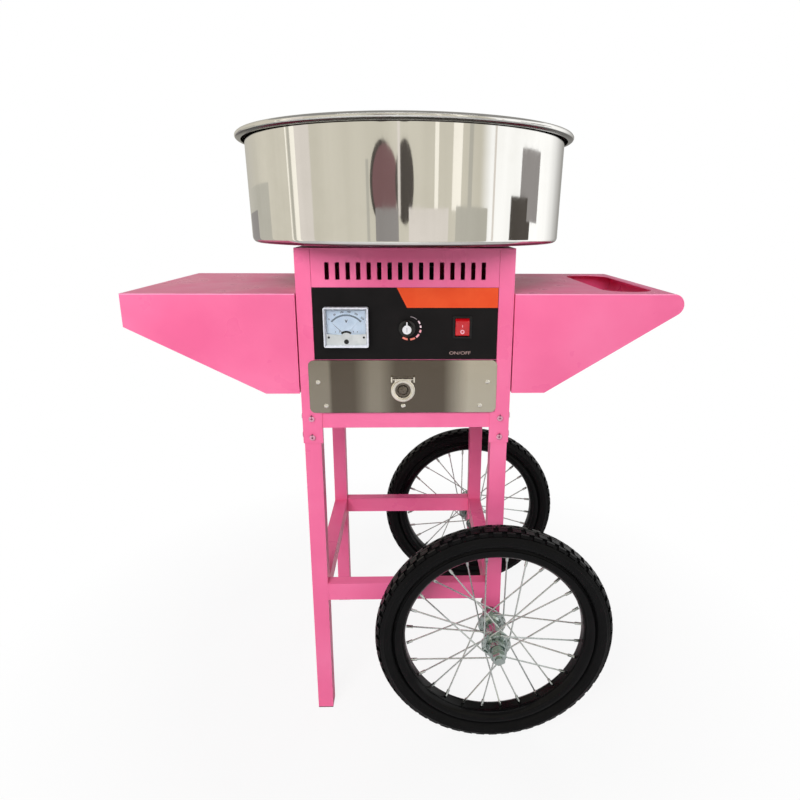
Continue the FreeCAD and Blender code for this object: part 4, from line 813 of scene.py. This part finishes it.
def makePlatePrints():
    y = controls["plateFront"]
    flash = frontSlab([(controls["flashLeft"], controls["flashTop"]),
                       (controls["flashRight"], controls["flashTop"]),
                       (controls["flashRight"], controls["flashFoot"]),
                       (controls["flashTurn"], controls["flashFoot"])],
                      y, controls["ink"])
    finished(flash, "plate_flash", "cart", flashPrint)
    for tone, coat in (("grey", scaleGrey), ("pale", scalePale), ("rose", scaleRose),
                       ("salmon", scaleSalmon)):
        dashes = [frontArc((knob["scaleX"], y, knob["z"]), knob["scaleRadius"], width * millimetre,
                           middle - length / 2,
                           middle + length / 2, controls["ink"])
                  for middle, length, width, name in knobDashes if name == tone]
        finished(joinPieces(dashes, "dashes"), "knob_scale_" + tone, "cart", coat)
    words = frontText("ON/OFF", switch["labelX"], y - controls["ink"] / 2, switch["labelZ"],
                      switch["labelHeight"], controls["ink"], wide=1.35)
    finished(words, "switch_words", "cart", labelPrint)


makePlatePrints()
print("stage: plate prints ready")


# Half the length and half the width of each arm of the cross in a bolt's head.
boltCross = (0.0019, 0.0005)


def makeBoltCrosses():
    # A cross slot on every frame bolt that faces the front, as a flat dark maroon mark: painted shade in the
    # recess.
    heads = {}
    mesh = cad["frame_bolts"].data
    for face in mesh.polygons:
        if face.normal.y < -0.99:
            for index in face.vertices:
                point = mesh.vertices[index].co
                heads.setdefault((round(point.x / 0.02), round(point.z / 0.015)), []).append(tuple(point))
    slots = []
    for points in heads.values():
        front = min(point[1] for point in points)
        if front > controls["plateFront"] + 0.004:
            continue
        ends = [point for point in points if point[1] < front + 0.0002]
        x = (min(point[0] for point in ends) + max(point[0] for point in ends)) / 2
        z = (min(point[2] for point in ends) + max(point[2] for point in ends)) / 2
        for wide, tall in (boltCross, boltCross[::-1]):
            slots.append(frontBox(x - wide, x + wide, z - tall, z + tall, front, controls["ink"]))
    finished(joinPieces(slots, "slots"), "bolt_crosses", "cart", boltSlotShade)


makeBoltCrosses()


def makeKnob():
    easedNode("heat_knob", "knob_body", "heat_knob", knobBlack, "black_plastic", 0.5, 3)
    front = controls["plateFront"] - knob["front"]
    centre = (knob["x"], front, knob["z"])
    dome = spunProfile([(0.0, -0.0006), (0.003, -0.00055), (0.0055, -0.0004),
                        (knob["capRadius"] - 0.0001, -0.0002),
                        (knob["capRadius"], 0.0002)], centre, "Y", 48, False)
    half = knob["pointerWidth"] / 2
    blade = frontSlab([(knob["x"] - half, knob["z"]), (knob["x"] + half, knob["z"]),
                       (knob["x"] + half * 0.7, knob["z"] + knob["pointerReach"]),
                       (knob["x"] - half * 0.7, knob["z"] + knob["pointerReach"])],
                      front + knob["pointerSink"], knob["pointerSink"] * 0.7)
    cap = joinPieces([dome, blade], "cap")
    shadeByAngle(cap, 40)
    finished(cap, "knob_cap", "heat_knob", knobSilver)
    wide, tall, deep = knob["slotHalf"], knob["slotReach"], knob["slotDepth"]
    slot = frontBox(knob["x"] - wide, knob["x"] + wide, knob["z"] - tall, knob["z"] + tall, front - deep,
                    deep)
    finished(slot, "knob_slot", "heat_knob", knobSlot)


def makeSwitchMarks():
    circle = frontArc((switch["x"], switch["circleY"], switch["z"] - switch["circleDrop"]),
                      switch["circleRadius"]
                      - switch["circleLine"] / 2, switch["circleLine"], 0, 360, switch["markDepth"])
    half = switch["barWidth"] / 2
    low = switch["z"] + switch["barRise"]
    bar = frontBox(switch["x"] - half, switch["x"] + half, low, low + switch["barHeight"], switch["barY"],
                   switch["markDepth"], switch["barLean"])
    finished(joinPieces([circle, bar], "marks"), "switch_marks", "switch_rocker", markRose)


meter = {"x": -0.0847, "z": 0.6676, "halfWide": 0.0317, "halfTall": 0.0285, "corner": 0.002, "back": -0.1658,
         "depth": 0.009, "lip": 0.0012, "border": 0.0042, "bevelDepth": 0.0064, "paneY": -0.1692,
         "paneThickness": 0.0005, "bandY": -0.1699, "bandThickness": 0.0006, "bandTop": 0.658,
         "humpRadius": 0.0086,
         "humpZ": 0.6515, "dialY": -0.1664, "ink": 0.00008, "arcZ": 0.657, "arcRadius": 0.0277,
         "arcWidth": 0.0020,
         "arcReach": 48.5, "labelRadius": 0.0325, "labelHeight": 0.0025, "unitZ": 0.6757,
         "unitHeight": 0.0043,
         "screwX": 0.025, "screwZ": 0.6532, "screwRadius": 0.0016, "adjusterZ": 0.647,
         "adjusterRadius": 0.0035,
         "frameWall": 0.0006, "frameRound": 0.0005, "labelWeight": 0.00008, "unitWeight": 0.00025,
         "footMarkZ": 0.6598, "footMarkHalf": 0.0004,
         "footMarks": ((-0.0155, 0.0016), (-0.010, 0.002), (0.010, 0.002), (0.0155, 0.0016))}
meterLabels = (("0", -48), ("50", -30), ("100", -11), ("150", 7), ("200", 26), ("250", 45))


def roundedCorners(halfWide, halfTall, radius):
    corners = []
    for signX, signZ, first in ((1, 1, 0), (-1, 1, 90), (-1, -1, 180), (1, -1, 270)):
        centreX = meter["x"] + signX * (halfWide - radius)
        centreZ = meter["z"] + signZ * (halfTall - radius)
        for step in range(5):
            angle = math.radians(first + step * 22.5)
            corners.append((centreX + radius * math.cos(angle), centreZ + radius * math.sin(angle)))
    return corners


def makeMeterFrame():
    # A white frame whose inside slopes down to the dial.
    corners = roundedCorners(meter["halfWide"], meter["halfTall"], meter["corner"])
    clearSelection()
    bpy.ops.mesh.primitive_circle_add(vertices=len(corners), radius=0.01, fill_type="NGON")
    frameRing = bpy.context.object
    for vertex, (x, z) in zip(frameRing.data.vertices, corners):
        vertex.co = Vector((x, meter["back"], z))
    edit(frameRing, "FACE")
    bpy.ops.mesh.select_all(action="SELECT")
    bpy.ops.mesh.extrude_region_move(TRANSFORM_OT_translate={"value": (0, -meter["depth"], 0)})
    bpy.ops.mesh.select_all(action="SELECT")
    bpy.ops.mesh.normals_make_consistent(inside=False)
    front = meter["back"] - meter["depth"]
    selectFaces(frameRing, lambda centre, normal: abs(centre.y - front) < 1e-5)
    bpy.ops.mesh.inset(thickness=meter["lip"])
    bpy.ops.mesh.inset(thickness=meter["border"] - meter["lip"], depth=-meter["bevelDepth"])
    bpy.ops.mesh.delete(type="ONLY_FACE")
    leaveEdit()
    wallMaker = frameRing.modifiers.new("wall", "SOLIDIFY")
    wallMaker.thickness = meter["frameWall"]
    rounding = frameRing.modifiers.new("rounding", "BEVEL")
    rounding.width = meter["frameRound"]
    rounding.segments = 3
    rounding.angle_limit = math.radians(35)
    bakeModifiers(frameRing)
    tidyMesh(frameRing)
    shadeByAngle(frameRing, 40)
    finished(frameRing, "meter_frame", "cart", meterWhite)


def makeMeterPrints():
    y = meter["dialY"]
    ink = meter["ink"]
    x = meter["x"]
    reach = meter["arcReach"]
    hoop = frontArc((x, y, meter["arcZ"]), meter["arcRadius"], meter["arcWidth"], -reach, reach, ink)
    finished(hoop, "meter_scale", "cart", scaleInk)
    marks = [frontArc((x, y - ink, meter["arcZ"]), meter["arcRadius"] + side * meter["arcWidth"] / 2, 0.0003,
                      -reach,
                      reach, ink) for side in (-1, 1)]
    for step in range(26):
        angle = -reach + step * 2 * reach / 25
        long = 0.0010 if step % 5 == 0 else 0.0
        marks.append(frontArc((x, y - ink, meter["arcZ"]), meter["arcRadius"] + long / 2,
                              meter["arcWidth"] + long,
                              angle - 0.4, angle + 0.4, ink))
    for word, degrees in meterLabels:
        angle = math.radians(degrees)
        marks.append(frontText(word, x + meter["labelRadius"] * math.sin(angle), y - ink / 2,
                               meter["arcZ"] + meter["labelRadius"] * math.cos(angle), meter["labelHeight"],
                               ink,
                               turn=degrees, weight=meter["labelWeight"]))
    marks.append(frontText("V", x, y - ink / 2, meter["unitZ"], meter["unitHeight"], ink,
                           weight=meter["unitWeight"]))
    half, foot = meter["footMarkHalf"], meter["footMarkZ"]
    for place, height in meter["footMarks"]:
        marks.append(frontBox(x + place - half, x + place + half, foot, foot + height, y, ink))
    finished(joinPieces(marks, "marks"), "meter_marks", "cart", dialInk)


def makeMeterFront():
    x = meter["x"]
    y = meter["bandY"]
    half = meter["halfWide"] - meter["border"] + 0.0008
    foot = meter["z"] - meter["halfTall"] + meter["border"] - 0.0008
    rise = [math.radians(degrees) for degrees in range(40, 141, 10)]
    band = frontSlab([(x - half, foot), (x + half, foot), (x + half, meter["bandTop"])]
                     + [(x + meter["humpRadius"] * math.cos(a),
                         meter["humpZ"] + meter["humpRadius"] * math.sin(a))
                        for a in rise] + [(x - half, meter["bandTop"])], y, meter["bandThickness"])
    finished(band, "meter_band", "cart", bandSilver)
    front = y - meter["bandThickness"]
    dots = [frontArc((x, front, meter["humpZ"]), meter["humpRadius"] + 0.0014, 0.0028, -42, 42, 0.0002)]
    for place, z, radius in ((-meter["screwX"], meter["screwZ"], meter["screwRadius"]),
                             (meter["screwX"], meter["screwZ"], meter["screwRadius"]),
                             (0.0, meter["adjusterZ"], meter["adjusterRadius"])):
        dots.append(spunProfile([(0.0, -0.0008), (radius * 0.75, -0.0008), (radius, -0.0004),
                                 (radius, 0.0001)],
                                (x + place, front, z), "Y", 32, False))
    dark = joinPieces(dots, "dots")
    shadeByAngle(dark, 40)
    finished(dark, "meter_screws", "cart", blackInk)
    paneWide = meter["halfWide"] - meter["border"] + 0.0004
    paneFoot = meter["bandTop"] - 0.001
    paneTop = meter["z"] + meter["halfTall"] - meter["border"] + 0.0004
    pane = frontBox(x - paneWide, x + paneWide, paneFoot, paneTop, meter["paneY"], meter["paneThickness"])
    finished(pane, "meter_window", "cart", clearCover, ["meter_cover"])


makeKnob()
easedNode("heat_regulator", "regulator_box", "cart", plasticBlack, "black_plastic", 0.3)
easedNode("switch_body", "switch_bezel", "cart", plasticBlack, "black_plastic", 0.35, 3)
easedNode("switch_rocker", "rocker_cap", "switch_rocker", switchRed, "red_plastic", 0.8, 3)
makeSwitchMarks()
easedNode("meter_case", "meter_housing", "cart", meterWhite, "meter_plastic", 0.6, 3)
easedNode("meter_dial", "meter_card", "cart", dialCard, "dial_card", 0.0)
easedNode("meter_needle", "meter_pointer", "meter_needle", dialInk, "needle_aluminium", 0.0)
makeMeterFrame()
makeMeterPrints()
makeMeterFront()
print("stage: controls ready")


view = {"place": (0.00766, -0.99725, 0.81657), "pan": -1.5, "tilt": 15.17, "roll": 0.25, "lens": 26.396,
        "shiftX": -0.03245, "shiftY": -0.02694}


def makeCamera():
    clearSelection()
    bpy.ops.object.camera_add(location=view["place"])
    camera = bpy.context.object
    turn = (Matrix.Rotation(math.radians(view["pan"]), 3, "Z")
            @ Matrix.Rotation(math.radians(90 - view["tilt"]), 3, "X")
            @ Matrix.Rotation(math.radians(view["roll"]), 3, "Z"))
    camera.rotation_euler = turn.to_euler()
    camera.data.lens = view["lens"]
    camera.data.sensor_width = 36
    camera.data.shift_x = view["shiftX"]
    camera.data.shift_y = view["shiftY"]
    bpy.context.scene.camera = camera


studio = {"ambient": 0.205, "keyPlace": (-0.85, -2.85, 2.45), "keySize": (2.2, 2.2), "keyPower": 102,
          "backPlace": (1.3, 2.3, 1.7), "backSize": (1.6, 1.2), "backPower": 22, "aim": (0, 0, 0.6)}


def softbox(name, place, size, power):
    clearSelection()
    bpy.ops.object.light_add(type="AREA", location=place)
    lamp = bpy.context.object
    lamp.name = name
    lamp.data.shape = "RECTANGLE"
    lamp.data.size, lamp.data.size_y = size
    lamp.data.energy = power
    lamp.visible_glossy = False
    lamp.rotation_euler = (Vector(studio["aim"]) - Vector(place)).to_track_quat("-Z", "Y").to_euler()


def makeWorld():
    world = bpy.data.worlds.new("studio")
    bpy.context.scene.world = world
    world.use_nodes = True
    tree = world.node_tree
    tree.nodes.clear()
    rays = tree.nodes.new("ShaderNodeLightPath")
    seen = tree.nodes.new("ShaderNodeMath")
    seen.operation = "MAXIMUM"
    tree.links.new(rays.outputs["Is Camera Ray"], seen.inputs[0])
    tree.links.new(rays.outputs["Is Glossy Ray"], seen.inputs[1])
    through = tree.nodes.new("ShaderNodeMath")
    through.operation = "MAXIMUM"
    tree.links.new(seen.outputs[0], through.inputs[0])
    tree.links.new(rays.outputs["Is Transmission Ray"], through.inputs[1])
    soft = tree.nodes.new("ShaderNodeBackground")
    soft.inputs["Strength"].default_value = studio["ambient"]
    soft.inputs["Color"].default_value = (1, 1, 1, 1)
    white = tree.nodes.new("ShaderNodeBackground")
    white.inputs["Color"].default_value = (1, 1, 1, 1)
    both = tree.nodes.new("ShaderNodeMixShader")
    tree.links.new(through.outputs[0], both.inputs[0])
    tree.links.new(soft.outputs[0], both.inputs[1])
    tree.links.new(white.outputs[0], both.inputs[2])
    end = tree.nodes.new("ShaderNodeOutputWorld")
    tree.links.new(both.outputs[0], end.inputs["Surface"])


# A ring round the studio that only polished surfaces show: a cream wall, a bright window on
# the right and a dim room behind. Each stop is degrees round from the front towards the right.
walls = {"radius": 2.6, "foot": -0.4, "top": 2.8, "steps": 96}
cream, window, dim = (0.79, 0.75, 0.64), (1.32, 1.32, 1.31), (0.38, 0.37, 0.35)
wallStops = ((-180, dim), (-110, cream), (50, cream), (58, window), (116, window), (145, dim), (180, dim))
# Cards that stand before the ring: degrees from and to, height from and to, tone, and
# whether the card is round.
cardRadius = 2.5
cardTones = {"white": (1.25, 1.2, 1.08), "pale": (0.92, 0.86, 0.8), "grey": (0.6, 0.58, 0.51),
             "slate": (0.36, 0.34, 0.33), "mauve": (0.25, 0.14, 0.145), "dark": (0.1, 0.088, 0.078)}
cards = (
    (-83, -81.5, -0.4, 2.8, "white", False),
    (-80.5, -78, -0.4, 2.8, "grey", False),
    (-77.5, -73, -0.4, 2.8, "white", False),
    (-73, -62, -0.4, 2.8, "pale", False),
    (-150, -100, 0.1, 0.95, "grey", False),
    (-150, -110, 0.1, 0.83, "slate", False),
    (-27, -25, 0.2, 1.0, "grey", False),
    (-24.4, -8, 0.7, 1.085, "dark", True),
    (-22.8, -6, 0.71, 1.065, "mauve", True),
    (-8, 4, 0.7, 1.085, "dark", True),
    (-6.4, -4.8, 0.74, 1.3, "pale", False),
    (19.5, 22, 0.77, 2.8, "white", False),
    (30.5, 36, 0.77, 2.8, "white", False),
    (40.5, 43.5, 0.77, 2.8, "grey", False),
    (59.5, 61, 0.5, 2.8, "pale", False),
    (81, 102, 0.75, 1.085, "slate", False),
    (73.5, 93, 0.54, 0.86, "dark", False),
    (-21, -6, 0.3, 0.78, "slate", False),
    (0, 29, 0.3, 0.78, "pale", False),
    (33, 56, 0.3, 0.79, "grey", False))


def glowing(name):
    s = Shade(name)
    glow = s.add("ShaderNodeEmission")
    s.link(glow.outputs[0], s.tree.nodes["Material Output"].inputs["Surface"])
    return s, glow


def glossyOnly(obj):
    for ray in ("camera", "diffuse", "transmission", "volume_scatter", "shadow"):
        setattr(obj, "visible_" + ray, False)


def makeWalls():
    clearSelection()
    tall = walls["top"] - walls["foot"]
    bpy.ops.mesh.primitive_cylinder_add(vertices=walls["steps"], radius=walls["radius"], depth=tall,
                                        end_fill_type="NOTHING", location=(0, 0, walls["foot"] + tall / 2))
    obj = bpy.context.object
    fixPlace(obj)
    obj.name = "studio_walls"
    s, glow = glowing("studioWalls")
    split = s.add("ShaderNodeSeparateXYZ")
    s.link(s.place, split.inputs[0])
    turned = s.maths("ARCTAN2", split.outputs["X"], s.maths("MULTIPLY", split.outputs["Y"], -1.0))
    spot = s.ranged(turned, 0, 1, -math.pi, math.pi)
    s.link(s.ramp(spot, [((degrees + 180) / 360, tone) for degrees, tone in wallStops]), glow.inputs["Color"])
    obj.data.materials.append(s.material)
    glossyOnly(obj)


# A grey ceiling and, below it, one bright strip that gives rounded edges their highlights.
overhead = {"ceiling": {"size": (2.6, 2.6), "place": (0, 0, 2.81), "glow": 0.34},
            "strip": {"size": (1.5, 0.07), "place": (0.1, -1.25, 2.7), "glow": 3.4}}


def makeCeiling():
    for name, sheet in overhead.items():
        clearSelection()
        if name == "ceiling":
            bpy.ops.mesh.primitive_circle_add(vertices=64, radius=1, fill_type="NGON",
                                              location=sheet["place"])
        else:
            bpy.ops.mesh.primitive_plane_add(size=2, location=sheet["place"])
        obj = bpy.context.object
        obj.scale = (*sheet["size"], 1)
        fixPlace(obj)
        obj.name = "studio_" + name
        s, glow = glowing("studio" + name.capitalize())
        glow.inputs["Color"].default_value = (1, 0.98, 0.95, 1)
        glow.inputs["Strength"].default_value = sheet["glow"]
        obj.data.materials.append(s.material)
        glossyOnly(obj)


def makeCards():
    for index, (first, last, low, high, toneName, isRound) in enumerate(cards):
        tone = cardTones[toneName]
        clearSelection()
        distance = cardRadius - index * 0.01
        middle = math.radians((first + last) / 2)
        half = distance * math.sin(math.radians((last - first) / 2))
        if isRound:
            bpy.ops.mesh.primitive_circle_add(vertices=48, radius=1, fill_type="NGON")
        else:
            bpy.ops.mesh.primitive_plane_add(size=2)
        obj = bpy.context.object
        obj.name = "studio_card_" + str(index + 1)
        obj.scale = (half, (high - low) / 2, 1)
        obj.rotation_euler = (math.pi / 2, 0, middle)
        obj.location = (distance * math.sin(middle), -distance * math.cos(middle), (low + high) / 2)
        fixPlace(obj)
        s, glow = glowing("studioCard" + str(index + 1))
        glow.inputs["Color"].default_value = (*tone, 1)
        obj.data.materials.append(s.material)
        glossyOnly(obj)


floor = {"size": 16, "shade": 0.88, "fadeFrom": 0.4, "fadeTo": 0.8}


def makeFloor():
    clearSelection()
    bpy.ops.mesh.primitive_plane_add(size=floor["size"], location=(0, 0, -0.0002))
    obj = bpy.context.object
    fixPlace(obj)
    obj.name = "floor"
    s = Shade("floorWhite")
    s.set(Base_Color=(0.86, 0.86, 0.86, 1), Roughness=0.8, Specular_IOR_Level=0.2)
    rays = s.add("ShaderNodeLightPath")
    glow = s.add("ShaderNodeEmission")
    far = s.add("ShaderNodeVectorMath", operation="LENGTH")
    s.link(s.place, far.inputs[0])
    fade = s.ranged(far.outputs["Value"], floor["shade"], 1.0, floor["fadeFrom"], floor["fadeTo"])
    share = s.maths("MULTIPLY", rays.outputs["Is Camera Ray"], fade)
    both = s.add("ShaderNodeMixShader")
    s.link(share, both.inputs[0])
    s.link(s.shader.outputs[0], both.inputs[1])
    s.link(glow.outputs[0], both.inputs[2])
    s.link(both.outputs[0], s.tree.nodes["Material Output"].inputs["Surface"])
    obj.data.materials.append(s.material)


makeCamera()
softbox("keyLamp", studio["keyPlace"], studio["keySize"], studio["keyPower"])
softbox("backLamp", studio["backPlace"], studio["backSize"], studio["backPower"])
makeWalls()
makeCeiling()
makeCards()
makeWorld()
makeFloor()
bpy.context.scene.view_settings.view_transform = "Standard"
print("stage: studio ready")
